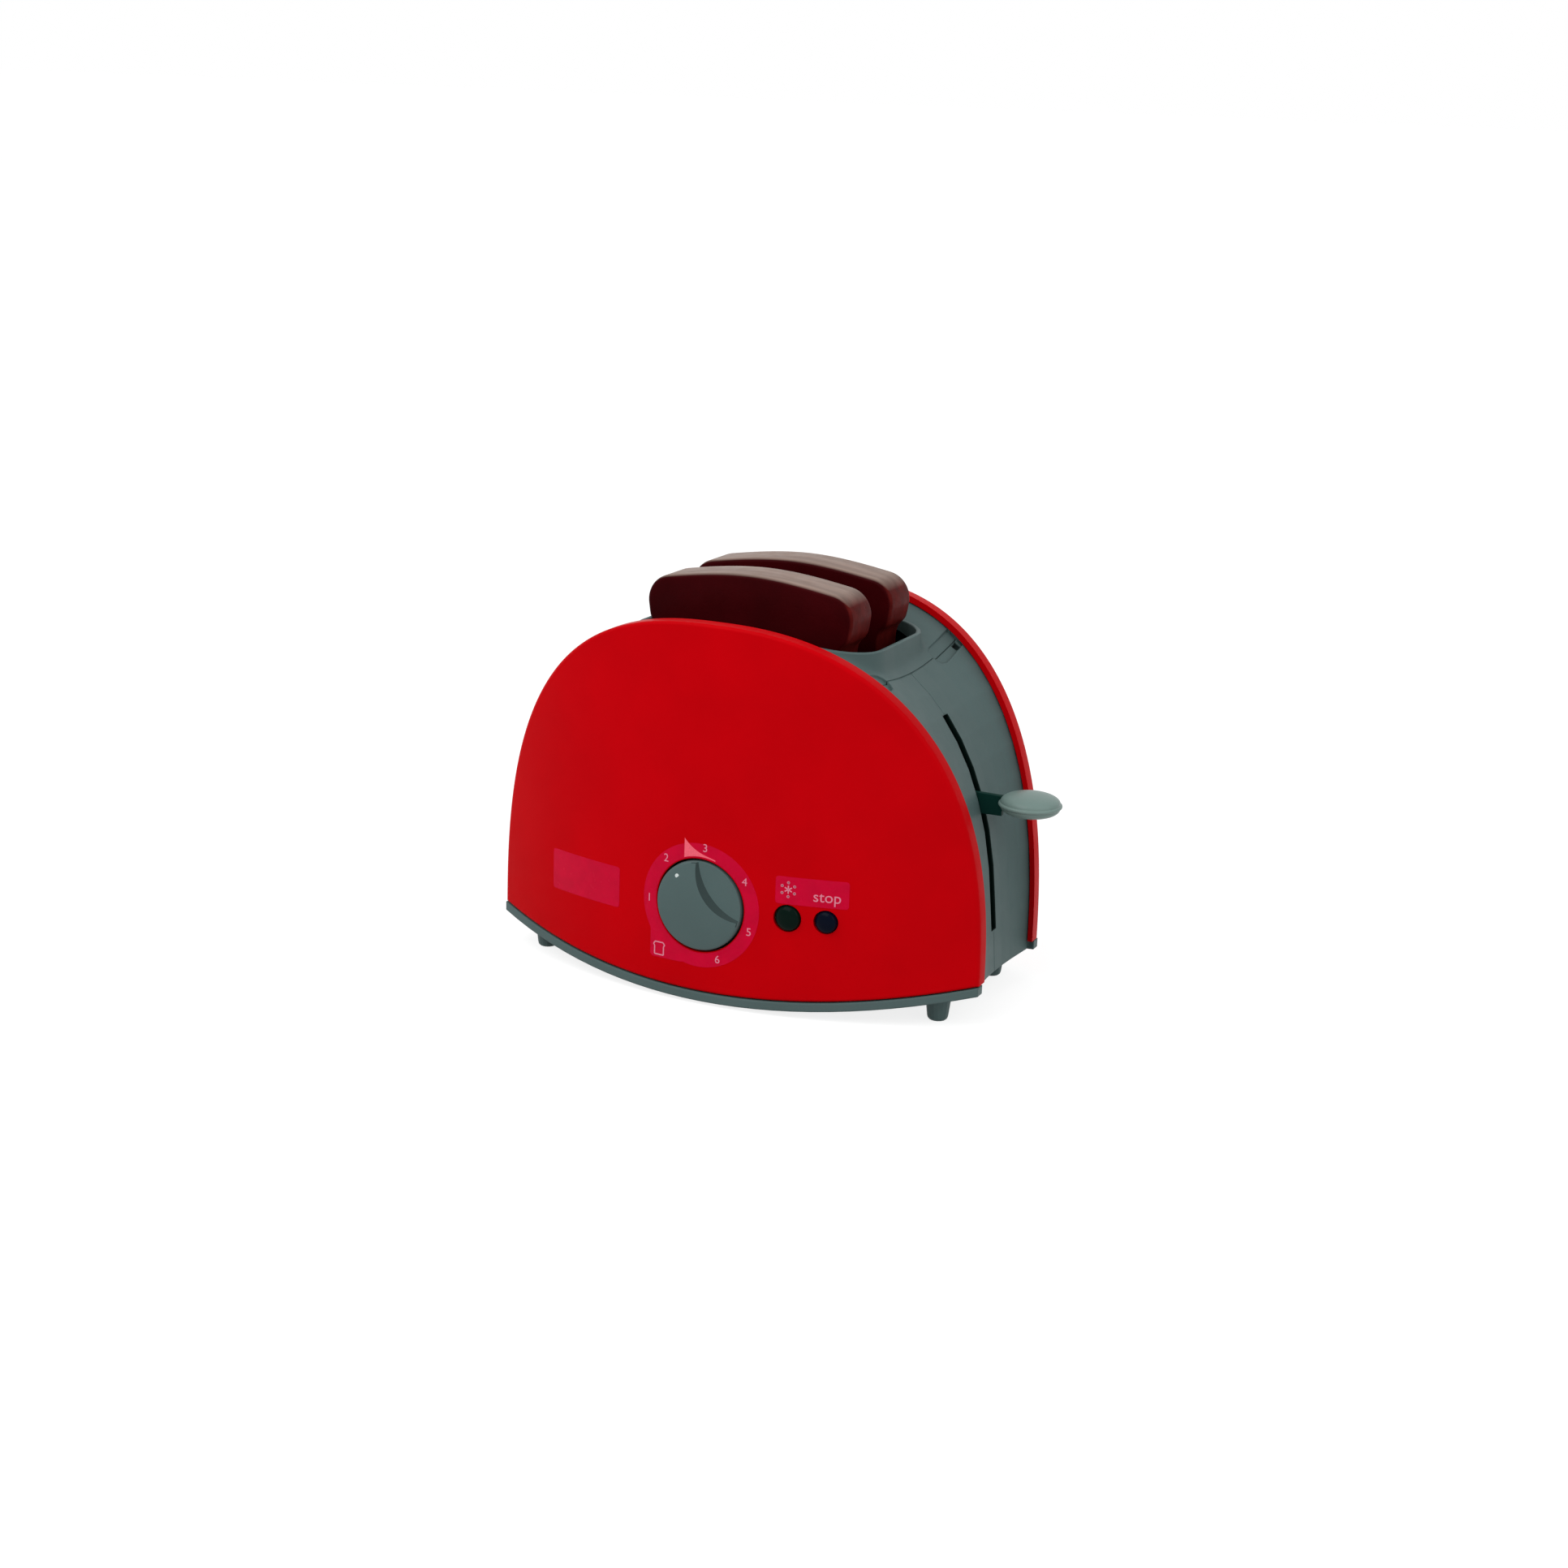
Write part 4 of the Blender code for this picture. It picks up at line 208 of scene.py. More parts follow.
# Films and ink on the front panel; a patch is left, right, bottom and top
FILM_LIFT = 0.00001
INK_THICKNESS = 0.00003
BUTTON_PATCH = (0.0242, 0.0472, 0.0380, 0.0470)
PLAIN_PATCH = (-0.0608, -0.0317, 0.0266, 0.0402)
PATCH_CORNER = 0.0010
PATCH_STEPS = 24
RING_STEPS = 144
RING_CORNER_ANGLES = (-165.0, -115.0)
RING_CORNER = (0.0176, 0.0200)
WEDGE_START = -0.0057
WEDGE_LENGTH = 0.0110
WEDGE_REACH = 0.0162
WEDGE_LOW = 0.0004
WEDGE_RISE = 0.0060
WEDGE_POWER = 2.8
WEDGE_STEPS = 30
NUMERALS = (("1", -92), ("2", -42), ("3", 5), ("4", 57), ("5", 110), ("6", 158))
NUMERAL_REACH = 0.0184
WEDGE_NUMERAL = "3"
WEDGE_NUMERAL_REACH = 0.0192
STOP_WORD = (0.0405, 0.0413, 0.0036)
FROST_SIGN = (0.0283, 0.0428, 0.0024)
SLICE_SIGN_PLACE = (0.0222, -140)
SLICE_SIGN_SIZE = 0.0042
CAPITAL_SHARE = 0.72

# Camera, floor and lamps; a lamp is place, target and size
CAMERA_PLACE = (0.3314, -0.7446, 0.2875)
CAMERA_TURNS = (24.184, 15.426, 2.044)
SENSOR_WIDTH = 36.0
FLOOR_SIZE = 30.0
FLOOR_GREY = 0.62
SHADOW_GREY = 0.34
FLOOR_GLOW = 0.82
KEY_LAMP = ((-0.35, -0.75, 1.05), (0.0, 0.0, 0.05), 1.1)
FILL_LAMP = ((1.05, -0.25, 0.75), (0.0, 0.0, 0.06), 0.9)


def length(name, description, default, low, high):
    return bpy.props.FloatProperty(
        name=name, description=description, default=default, min=low, max=high, unit="LENGTH"
    )


class ToasterSizes(bpy.types.PropertyGroup):
    edge_radius: length("Panel edge radius", "Rounding of a red panel's front edge", 0.0012, 0.0003, 0.0018)
    slice_edge: length("Slice edge radius", "Rounding of a slice's edge", 0.0014, 0.0004, 0.0030)
    grip_half_width: length(
        "Grip half width", "How far past the knob's middle its grip reaches", 0.0033, 0.0015, 0.0060
    )
    film_thickness: length("Film thickness", "Thickness of the clear label film", 0.00006, 0.00002, 0.00030)
    ring_inner: length("Dial film inner radius", "Where the dial's film starts", 0.0158, 0.0150, 0.0180)
    ring_outer: length("Dial film outer radius", "Where the dial's film ends", 0.0205, 0.0185, 0.0240)
    numeral_height: length("Numeral height", "Height of the numbers round the dial", 0.0027, 0.0010, 0.0040)


def colour_choice(name, description, default):
    return bpy.props.FloatVectorProperty(
        name=name, description=description, default=default, subtype="COLOR", size=3, min=0.0, max=1.0
    )


class ToasterColours(bpy.types.PropertyGroup):
    panel_red: colour_choice("Panel red", "Moulded colour of the two bowed panels", (0.560, 0.0, 0.003))
    housing_grey: colour_choice(
        "Housing grey", "Moulded colour of the housing and the knob", (0.082, 0.128, 0.126)
    )
    disc_grey: colour_choice("Disc grey", "The lever's thumb disc", (0.170, 0.245, 0.225))
    arm_green: colour_choice("Arm green", "The carriage and its lever arm", (0.004, 0.030, 0.024))
    inner_dark: colour_choice("Inner dark", "Chute, latch and clock case", (0.002, 0.004, 0.005))
    defrost_black: colour_choice("Defrost black", "The defrost button", (0.001, 0.008, 0.005))
    stop_black: colour_choice("Stop black", "The stop button", (0.001, 0.003, 0.011))
    slice_brown: colour_choice("Slice brown", "Moulded colour of the play slices", (0.038, 0.001, 0.002))
    crust_end: colour_choice("Crust end", "Crust along a slice's narrow sides", (0.095, 0.007, 0.006))
    # The slices' pale top colour is a painted reflection of the light from above, not a baked colour.
    painted_top_sheen: colour_choice("Painted top sheen", "Painted pale reflection along a slice's top", (0.300, 0.215, 0.180))
    film_red: colour_choice("Film red", "The panel as seen through the label film", (0.600, 0.0, 0.030))
    print_pink: colour_choice("Print pink", "Numbers and signs printed on the film", (0.80, 0.26, 0.36))
    wedge_pink: colour_choice("Wedge pink", "The browning wedge above the dial", (1.0, 0.145, 0.205))


class ToasterStage(bpy.types.PropertyGroup):
    lens: bpy.props.FloatProperty(
        name="Lens", description="Focal length in millimetres", default=58.78, min=20.0, max=200.0
    )
    key_power: bpy.props.FloatProperty(
        name="Key lamp", description="Power of the lamp above the front", default=9.0, min=0.0, unit="POWER"
    )
    fill_power: bpy.props.FloatProperty(
        name="Fill lamp", description="Power of the lamp by the lever", default=3.0, min=0.0, unit="POWER"
    )
    ambient: bpy.props.FloatProperty(
        name="Surrounding light", description="Strength of the even light", default=0.55, min=0.0, max=2.0
    )


# Materials


def new_node(tree, kind, **values):
    """Adds a node; a value goes to its socket of that name, or else to its setting."""
    node = tree.nodes.new(kind)
    for key, value in values.items():
        label = key.replace("_", " ").title()
        if label in node.inputs:
            node.inputs[label].default_value = value
        else:
            setattr(node, key, value)
    return node


def feed(tree, socket, value):
    """Links an output to a socket, or sets the socket's own value."""
    if isinstance(value, bpy.types.NodeSocket):
        tree.links.new(value, socket)
    else:
        socket.default_value = value


def compute(tree, operation, *values):
    """A maths node's output, from other outputs or numbers."""
    node = new_node(tree, "ShaderNodeMath", operation=operation)
    for socket, value in zip(node.inputs, values):
        feed(tree, socket, value)
    return node.outputs[0]


def object_place(tree):
    """The object's own x, y and z, as outputs."""
    parts = tree.nodes.new("ShaderNodeSeparateXYZ")
    tree.links.new(tree.nodes.new("ShaderNodeTexCoord").outputs["Object"], parts.inputs[0])
    return parts.outputs


def cosine(tree, way):
    """The cosine between the plain normal and a direction or another normal."""
    node = new_node(tree, "ShaderNodeVectorMath", operation="DOT_PRODUCT")
    tree.links.new(tree.nodes.new("ShaderNodeNewGeometry").outputs["Normal"], node.inputs[0])
    feed(tree, node.inputs[1], way)
    return node.outputs["Value"]


def noise(tree, scale, detail=2.0, roughness=0.5, stretch=None):
    """A noise in the object's own metres; its factor is the output. stretch scales its three axes."""
    place = tree.nodes.new("ShaderNodeTexCoord").outputs["Object"]
    if stretch:
        squeeze = tree.nodes.new("ShaderNodeMapping")
        squeeze.inputs["Scale"].default_value = stretch
        tree.links.new(place, squeeze.inputs["Vector"])
        place = squeeze.outputs["Vector"]
    texture = new_node(tree, "ShaderNodeTexNoise", scale=scale, detail=detail, roughness=roughness)
    tree.links.new(place, texture.inputs["Vector"])
    return texture.outputs[0]


def spread(tree, source, low, high, start=0.3, end=0.7):
    """Maps a factor from start..end to low..high."""
    node = tree.nodes.new("ShaderNodeMapRange")
    for socket, value in zip(("From Min", "From Max", "To Min", "To Max"), (start, end, low, high)):
        node.inputs[socket].default_value = value
    tree.links.new(source, node.inputs["Value"])
    return node.outputs["Result"]


def blend_colours(tree, factor, first, second):
    """Mixes two colours or colour outputs by a factor."""
    node = new_node(tree, "ShaderNodeMix", data_type="RGBA")
    tree.links.new(factor, node.inputs["Factor"])
    for name, value in (("A", first), ("B", second)):
        socket = next(s for s in node.inputs if s.name == name and s.type == "RGBA")
        feed(tree, socket, value if isinstance(value, bpy.types.NodeSocket) else (*value, 1.0))
    return next(s for s in node.outputs if s.type == "RGBA")


def bump(tree, height, depth, normal=None, strength=1.0):
    node = new_node(tree, "ShaderNodeBump", strength=strength, distance=depth)
    tree.links.new(height, node.inputs["Height"])
    if normal:
        tree.links.new(normal, node.inputs["Normal"])
    return node.outputs["Normal"]


def soft_edge(tree, radius):
    """The normal of an edge rounded by this radius."""
    return new_node(tree, "ShaderNodeBevel", radius=radius, samples=6).outputs["Normal"]


def edge_mask(tree, rounded):
    """1 along an edge and 0 on open faces, from the rounded normal."""
    return spread(tree, cosine(tree, rounded), 1.0, 0.0, 0.86, 0.995)


def surface(name, roughness, specular=0.5, metallic=0.0):
    """A new material with a Principled surface whose even values are set here, and its nodes."""
    material = bpy.data.materials.new(name)
    material.use_nodes = True
    shader = material.node_tree.nodes["Principled BSDF"]
    shader.inputs["Roughness"].default_value = roughness
    shader.inputs["Specular IOR Level"].default_value = specular
    shader.inputs["Metallic"].default_value = metallic
    return material, material.node_tree


def dress(tree, colour, normal, gloss=None):
    """Links a Principled surface's colour and normal and, if it is uneven, its gloss."""
    inputs = tree.nodes["Principled BSDF"].inputs
    tree.links.new(colour, inputs["Base Color"])
    tree.links.new(normal, inputs["Normal"])
    if gloss:
        tree.links.new(gloss, inputs["Roughness"])


def scaled(colour, factor):
    return tuple(min(1.0, c * factor) for c in colour)


def moulded_plastic(name, colour, roughness, specular, grain, edge, edge_lightening):
    """Injection-moulded plastic: faint flow marks, uneven gloss, a fine grain and lighter edges.

    Its grain is this deep, and its edges look rounded by this radius and lighter by this factor.
    """
    material, tree = surface(name, roughness, specular)
    rounded = soft_edge(tree, edge)
    flow = spread(tree, noise(tree, 38.0, 3.0, 0.55), 0.0, 1.0)
    body = blend_colours(tree, flow, scaled(colour, 0.95), scaled(colour, 1.05))
    specks = spread(tree, noise(tree, 1500.0, 1.0), 0.0, 0.35, 0.55, 0.85)
    body = blend_colours(tree, specks, body, scaled(colour, 0.90))
    body = blend_colours(tree, edge_mask(tree, rounded), body, scaled(colour, edge_lightening))
    gloss = spread(tree, noise(tree, 120.0, 3.0), roughness - 0.04, roughness + 0.05)
    waviness = bump(tree, noise(tree, 60.0, 1.0), 0.00002, rounded)
    dress(tree, body, bump(tree, noise(tree, 2600.0, 2.0), grain, waviness), gloss)
    return material


def facing(tree, way, start, end):
    """0 to 1 as the surface turns towards a direction, from one cosine to another."""
    return spread(tree, cosine(tree, way), 0.0, 1.0, start, end)


def slice_plastic(name, face, end, top):
    """Plastic of the play slices: dark faces with baked patches, streaked crust, a painted pale reflection
    along the top and painted shade below the lobes.
    """
    material, tree = surface(name, 0.34, 0.02)
    rounded = soft_edge(tree, 0.0003)
    patches = spread(tree, noise(tree, 55.0, 4.0, 0.6), 0.0, 1.0)
    body = blend_colours(tree, patches, scaled(face, 0.80), scaled(face, 1.22))
    streaks = spread(tree, noise(tree, 260.0, 3.0, 0.5, (0.12, 1.0, 1.0)), 0.0, 1.0, 0.35, 0.70)
    sides = blend_colours(tree, streaks, scaled(end, 0.75), scaled(end, 1.25))
    crust = blend_colours(tree, streaks, scaled(top, 0.80), scaled(top, 1.12))
    across = compute(tree, "ABSOLUTE", facing(tree, (1.0, 0.0, 0.0), 0.0, 1.0))
    body = blend_colours(tree, spread(tree, across, 0.0, 1.0, 0.35, 0.75), body, sides)
    # Painted reflection: faces that turn up are drawn in the pale top colour.
    body = blend_colours(tree, facing(tree, (0.0, 0.0, 1.0), 0.55, 0.97), body, crust)
    # Painted shade: below its lobes each slice is drawn at half its face colour, as if in the chute's
    # shadow.
    lobe_foot = SLICE_TOP - SLICE_NOTCH_DROP
    below = spread(tree, object_place(tree)["Z"], 1.0, 0.0, lobe_foot - SLICE_WAIST * 3, lobe_foot)
    body = blend_colours(tree, below, body, scaled(face, 0.5))
    gloss = spread(tree, noise(tree, 300.0, 3.0), 0.28, 0.42)
    waviness = bump(tree, noise(tree, 90.0, 2.0), 0.00005, rounded)
    pores = spread(tree, noise(tree, 900.0, 2.0), 1.0, 0.0, 0.60, 0.72)
    dress(tree, body, bump(tree, pores, 0.00003, waviness), gloss)
    return material


def within(tree, value, low, high):
    """1 where a value lies between two bounds."""
    above = compute(tree, "GREATER_THAN", value, low)
    return compute(tree, "MULTIPLY", above, compute(tree, "LESS_THAN", value, high))


def slit_dark(plastic, colour):
    """Darkens the narrow walls of the lever slit, which hardly any light reaches."""
    tree = plastic.node_tree
    base = tree.nodes["Principled BSDF"].inputs["Base Color"]
    place = object_place(tree)
    half = SLIT_WIDTH / 2 + SLIT_ROOM
    inside = within(tree, place["Y"], MIDDLE.y - half, MIDDLE.y + half)
    for axis, low, high in (
        ("Z", SLIT_BOTTOM - SLIT_ROOM, SLIT_TOP + SLIT_ROOM),
        ("X", MIDDLE.x + HALF_LENGTH / 2, 1.0),
    ):
        inside = compute(tree, "MULTIPLY", inside, within(tree, place[axis], low, high))
    tree.links.new(blend_colours(tree, inside, base.links[0].from_socket, colour), base)


def bright_metal(name, colour, roughness, stretch):
    """Drawn or stamped metal: fine lines along one way and a faint tarnish."""
    material, tree = surface(name, roughness, 0.5, 1.0)
    rounded = soft_edge(tree, 0.0001)
    tarnish = spread(tree, noise(tree, 180.0, 3.0), 0.0, 1.0)
    body = blend_colours(tree, tarnish, scaled(colour, 0.80), colour)
    lines = noise(tree, 1400.0, 2.0, 0.5, stretch)
    gloss = spread(tree, lines, roughness - 0.08, roughness + 0.12)
    dress(tree, body, bump(tree, lines, 0.000006, rounded), gloss)
    return material


def label_film(name, colour):
    """Clear film on red plastic: a pinker red, with the faint ripple of a stuck foil."""
    material, tree = surface(name, 0.22, 0.06)
    ripple = noise(tree, 210.0, 2.0)
    body = blend_colours(tree, spread(tree, ripple, 0.0, 1.0), scaled(colour, 0.94), scaled(colour, 1.06))
    dress(tree, body, bump(tree, ripple, 0.00002), spread(tree, noise(tree, 500.0), 0.18, 0.28))
    return material


def print_ink(name, colour):
    """Screen-printed ink: slightly uneven in cover."""
    material, tree = surface(name, 0.40, 0.10)
    cover = spread(tree, noise(tree, 2400.0, 2.0), 0.0, 1.0)
    body = blend_colours(tree, cover, scaled(colour, 0.86), colour)
    dress(tree, body, bump(tree, noise(tree, 3000.0), 0.000004))
    return material


MATERIALS = {}


def material(name):
    """One of the toaster's materials, made at its first use."""
    if name in MATERIALS:
        return MATERIALS[name]
    colours = bpy.context.scene.toaster_colours
    grey, green = colours.housing_grey, colours.arm_green
    plastics = {
        "panel plastic": (colours.panel_red, 0.34, 0.018, 0.000001, 0.00005, 1.03),
        "housing plastic": (grey, 0.44, 0.12, 0.000012, 0.0003, 1.25),
        "walled plastic": (grey, 0.44, 0.12, 0.000012, 0.0009, 1.15),
        # Painted shade: the knob's scoop wall is drawn much darker than the housing grey.
        "grip plastic with painted shade": (scaled(grey, 0.42), 0.55, 0.10, 0.000012, 0.0003, 1.10),
        "disc plastic": (colours.disc_grey, 0.36, 0.20, 0.000012, 0.0003, 1.20),
        "arm plastic": (green, 0.48, 0.06, 0.000010, 0.0003, 1.3),
        "inner plastic": (colours.inner_dark, 0.48, 0.06, 0.000010, 0.0003, 1.4),
        "defrost plastic": (colours.defrost_black, 0.16, 0.04, 0.000002, 0.0003, 1.3),
        "stop plastic": (colours.stop_black, 0.16, 0.04, 0.000002, 0.0003, 1.3),
    }
    metals = {
        "steel wire": ((0.58, 0.58, 0.57), 0.28, (1.0, 1.0, 0.05)),
        "brass sheet": ((0.62, 0.43, 0.16), 0.34, (0.05, 1.0, 1.0)),
        # Painted shade: the clock plate is drawn near black so that the gap round the knob looks dark.
        "sheet darkened as painted shade": ((0.020, 0.018, 0.015), 0.5, (0.05, 1.0, 1.0)),
    }
    inks = {
        "print ink": colours.print_pink,
        "wedge ink": colours.wedge_pink,
        "pointer ink": (0.72, 0.80, 0.78),
    }
    if name in plastics:
        made = moulded_plastic(name, *plastics[name])
    elif name in metals:
        made = bright_metal(name, *metals[name])
    elif name in inks:
        made = print_ink(name, inks[name])
    elif name == "label film":
        made = label_film(name, colours.film_red)
    else:
        made = slice_plastic(name, colours.slice_brown, colours.crust_end, colours.painted_top_sheen)
    if name == "walled plastic":
        slit_dark(made, scaled(green, 0.25))
    MATERIALS[name] = made
    return made


def coat_node(node, name):
    """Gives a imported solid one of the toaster's materials."""
    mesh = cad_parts[node].data
    if not mesh.materials:
        mesh.materials.append(None)
    for i in range(len(mesh.materials)):
        mesh.materials[i] = material(name)


# Shapes


def add_piece(name, mesh, finish, body, replaced=()):
    """Puts a mesh, drawn about the housing's middle, on its body."""
    mesh.transform(Matrix.Translation(MIDDLE))
    mesh.materials.clear()
    mesh.materials.append(material(finish))
    obj = bpy.data.objects.new(name, mesh)
    bpy.context.scene.collection.objects.link(obj)
    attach(obj, body)
    if replaced:
        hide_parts(*replaced)
    return obj


def mesh_from(build, name, degrees=32):
    """A mesh with smooth shading and sharp corners."""
    bmesh.ops.recalc_face_normals(build, faces=build.faces)
    mesh = bpy.data.meshes.new(name)
    build.to_mesh(mesh)
    build.free()
    mesh.shade_smooth()
    mesh.set_sharp_from_angle(angle=math.radians(degrees))
    return mesh


def carve(mesh, cutters, name, operation="DIFFERENCE", degrees=32):
    """Cuts or joins meshes to a mesh and returns the result; the given ones are used up."""
    target = bpy.data.objects.new(f"{name} blank", mesh)
    bpy.context.scene.collection.objects.link(target)
    tools = []
    for i, cutter in enumerate(cutters):
        tool = bpy.data.objects.new(f"{name} tool {i}", cutter)
        bpy.context.scene.collection.objects.link(tool)
        step = target.modifiers.new(f"step {i}", "BOOLEAN")
        step.operation = operation
        step.solver = "EXACT"
        step.object = tool
        tools.append(tool)
    graph = bpy.context.evaluated_depsgraph_get()
    result = bpy.data.meshes.new_from_object(target.evaluated_get(graph))
    for obj in (target, *tools):
        bpy.data.objects.remove(obj)
    build = bmesh.new()
    build.from_mesh(result)
    bmesh.ops.remove_doubles(build, verts=build.verts, dist=1e-7)
    bpy.data.meshes.remove(result)
    return mesh_from(build, name, degrees)


def arc(centre, radius, start, end, steps):
    """Points of an arc, as pairs, angles in degrees."""
    angles = [math.radians(start + (end - start) * i / steps) for i in range(steps + 1)]
    return [(centre[0] + radius * math.cos(a), centre[1] + radius * math.sin(a)) for a in angles]


def loft(rings, name, ladder=False, capped=True, degrees=32):
    """Skins a row of rings with as many points each. A ladder end joins the points above each other."""
    build = bmesh.new()
    loops = [[build.verts.new(point) for point in ring] for ring in rings]
    count = len(loops[0])
    for near, far in zip(loops, loops[1:]):
        for i in range(count):
            j = (i + 1) % count
            build.faces.new((near[i], near[j], far[j], far[i]))
    for loop in (loops[0], loops[-1]) if capped else ():
        if not ladder:
            build.faces.new(loop)
            continue
        half = count // 2
        lower = [loop[0]] + [loop[count - k] for k in range(1, half)] + [loop[half]]
        for k in range(half):
            rung = [loop[k], loop[k + 1], lower[k + 1], lower[k]]
            build.faces.new(list(dict.fromkeys(rung)))
    bmesh.ops.remove_doubles(build, verts=build.verts, dist=1e-7)
    return mesh_from(build, name, degrees)


def spun(profile, name, sides, place, facing_front=False, degrees=32):
    """A profile of (radius, height) points from top to bottom, turned round an axis through place."""
    build = bmesh.new()
    rings = []
    for radius, height in profile:
        if radius < 1e-9:
            rings.append([build.verts.new((0.0, 0.0, height))])
            continue
        angles = [2 * math.pi * k / sides for k in range(sides)]
        rings.append([build.verts.new((radius * math.cos(a), radius * math.sin(a), height)) for a in angles])
    for near, far in zip(rings, rings[1:]):
        for i in range(sides):
            j = (i + 1) % sides
            ends = (near[i % len(near)], near[j % len(near)], far[j % len(far)], far[i % len(far)])
            build.faces.new(list(dict.fromkeys(ends)))
    for ring in (rings[0], rings[-1]):
        if len(ring) > 1:
            build.faces.new(ring)
    turn = Matrix.Rotation(math.pi / 2, 4, "X") if facing_front else Matrix.Identity(4)
    bmesh.ops.transform(build, verts=build.verts, matrix=Matrix.Translation(place) @ turn)
    return mesh_from(build, name, degrees)


def bow_depth(x):
    """How far a panel's outer face stands from the middle plane."""
    return END_HALF_DEPTH + BOW * (1 - (x / HALF_LENGTH) ** 2)


def droop_level(x):
    """Height of a panel's lower edge."""
    return CORNER_HEIGHT - DROOP * (1 - (x / HALF_LENGTH) ** 2)


def arch_outline(inset, raised):
    """(x, z) points: the arch from left to right, then the lower edge back."""
    half = HALF_LENGTH - inset
    places = [*range(FINE_STEPS + 1), *END_SHARES, *(FINE_STEPS - share for share in END_SHARES)]
    angles = [math.pi * (k / FINE_STEPS - 0.5) for k in sorted(places)]
    across = [half * math.copysign(abs(math.sin(a)) ** (2 / ARCH_X_POWER), a) for a in angles]
    rise = PANEL_HEIGHT - inset
    tops = [CORNER_HEIGHT + rise * abs(math.cos(a)) ** (2 / ARCH_Z_POWER) for a in angles]
    floors = [droop_level(x) + raised for x in across]
    tops[0], tops[-1] = floors[0], floors[-1]
    return list(zip(across, tops)) + list(zip(across[-2:0:-1], floors[-2:0:-1]))


def panel_ring(inset, offset, side, raised=None):
    """An arch outline laid on the bowed face, moved in by offset."""
    outline = arch_outline(inset, inset if raised is None else raised)
    return [(x, side * (bow_depth(x) - offset), z) for x, z in outline]


def panel_mesh(name, side):
    """A bowed red shell, open behind and below, with a rounded front edge."""
    radius = bpy.context.scene.toaster_sizes.edge_radius
    rounding = arc((radius, radius), radius, 180, 270, EDGE_STEPS)
    rings = [panel_ring(0.0, PANEL_DEPTH, side)]
    rings += [panel_ring(inset, offset, side) for inset, offset in rounding]
    hollow = [
        panel_ring(PANEL_WALL, offset, side, raised=-OVERRUN)
        for offset in (PANEL_WALL, PANEL_DEPTH + OVERRUN)
    ]
    cutters = [loft(hollow, f"{name} hollow", ladder=True)]
    if side < 0:
        for x, z, radius in (
            (DIAL_X, DIAL_HEIGHT, KNOB_RADIUS + KNOB_GAP),
            (DEFROST_X, BUTTON_HEIGHT, DEFROST_RADIUS + BUTTON_GAP),
            (STOP_X, BUTTON_HEIGHT, STOP_RADIUS + BUTTON_GAP),
        ):
            run = [(radius, OVERRUN), (radius, -PANEL_DEPTH - OVERRUN)]
            place = (x, -bow_depth(0.0), z)
            cutters.append(spun(run, f"{name} hole {x:.3f}", HOLE_SIDES, place, facing_front=True))
    return carve(loft(rings, name, ladder=True), cutters, name)


# Saddle


def arch_height(x, inset):
    """Height of the arch above x, for an arch this far inside the panel's outline."""
    share = min(abs(x) / (HALF_LENGTH - inset), 1.0)
    return CORNER_HEIGHT + (PANEL_HEIGHT - inset) * (1 - share**ARCH_X_POWER) ** (1 / ARCH_Z_POWER)


def band_level(x, y, inset):
    """Height of the dipped band above a point of the plan."""
    share = min(abs(y) / (bow_depth(x) - PANEL_DEPTH), 1.0)
    return arch_height(x, inset + BAND_DIP * (1 - share**2))


def saddle_level(x, y):
    """Height of the saddle, which sags below the band between its seams."""
    share = min(abs(y) / (bow_depth(x) - PANEL_DEPTH), 1.0)
    rise = max((share - SAG_SHARE) / (1 - SAG_SHARE), 0.0)
    sag = SADDLE_SAG * max(1 - (x / SEAM_X) ** 2, 0.0) * (1 - rise**2)
    return band_level(x, y, EDGE_INSET) - sag


def collar_level(x):
    """Height of the collar's rounded top."""
    end = arch_height(OPENING_X, COLLAR_INSET)
    return end + (COLLAR_CREST - end) * max(1 - (x / OPENING_X) ** 2, 0.0)


def four_fold(quadrant):
    """A closed outline from its first quarter, which runs from the right end to the far side."""
    upper = quadrant + [(-x, y) for x, y in reversed(quadrant[:-1])]
    return upper + [(x, -y) for x, y in reversed(upper[1:-1])]


def opening_outline(offset):
    """(x, y) points of the opening's outline, widened."""
    middle = (OPENING_X - OPENING_CORNER, OPENING_Y - OPENING_CORNER)
    end = [(OPENING_X + offset, middle[1] * k / END_STEPS) for k in range(END_STEPS)]
    corner = arc(middle, OPENING_CORNER + offset, 0, 90, CORNER_STEPS)
    side = [(middle[0] * (1 - k / SIDE_STEPS), OPENING_Y + offset) for k in range(1, SIDE_STEPS + 1)]
    return four_fold(end + corner + side)


def saddle_edge():
    """(x, y) points of the saddle's own outline, one for each point of the opening's."""
    half_x = SEAM_X - FIT_GAP / 2
    side_offset = EDGE_INSET + BODY_WALL + FIT_GAP

    def reach(x):
        return bow_depth(x) - side_offset

    near_y = (OPENING_Y - OPENING_CORNER) * APRON_SPREAD_Y
    near_x = (OPENING_X - OPENING_CORNER) * APRON_SPREAD_X
    end = [(half_x, near_y * k / END_STEPS) for k in range(END_STEPS)]
    half = CORNER_STEPS // 2
    corner = [(half_x, near_y + (reach(half_x) - near_y) * k / half) for k in range(half)]
    across = [half_x + (near_x - half_x) * k / half for k in range(half + 1)]
    across += [near_x * (1 - k / SIDE_STEPS) for k in range(1, SIDE_STEPS + 1)]
    return four_fold(end + corner + [(x, reach(x)) for x in across])


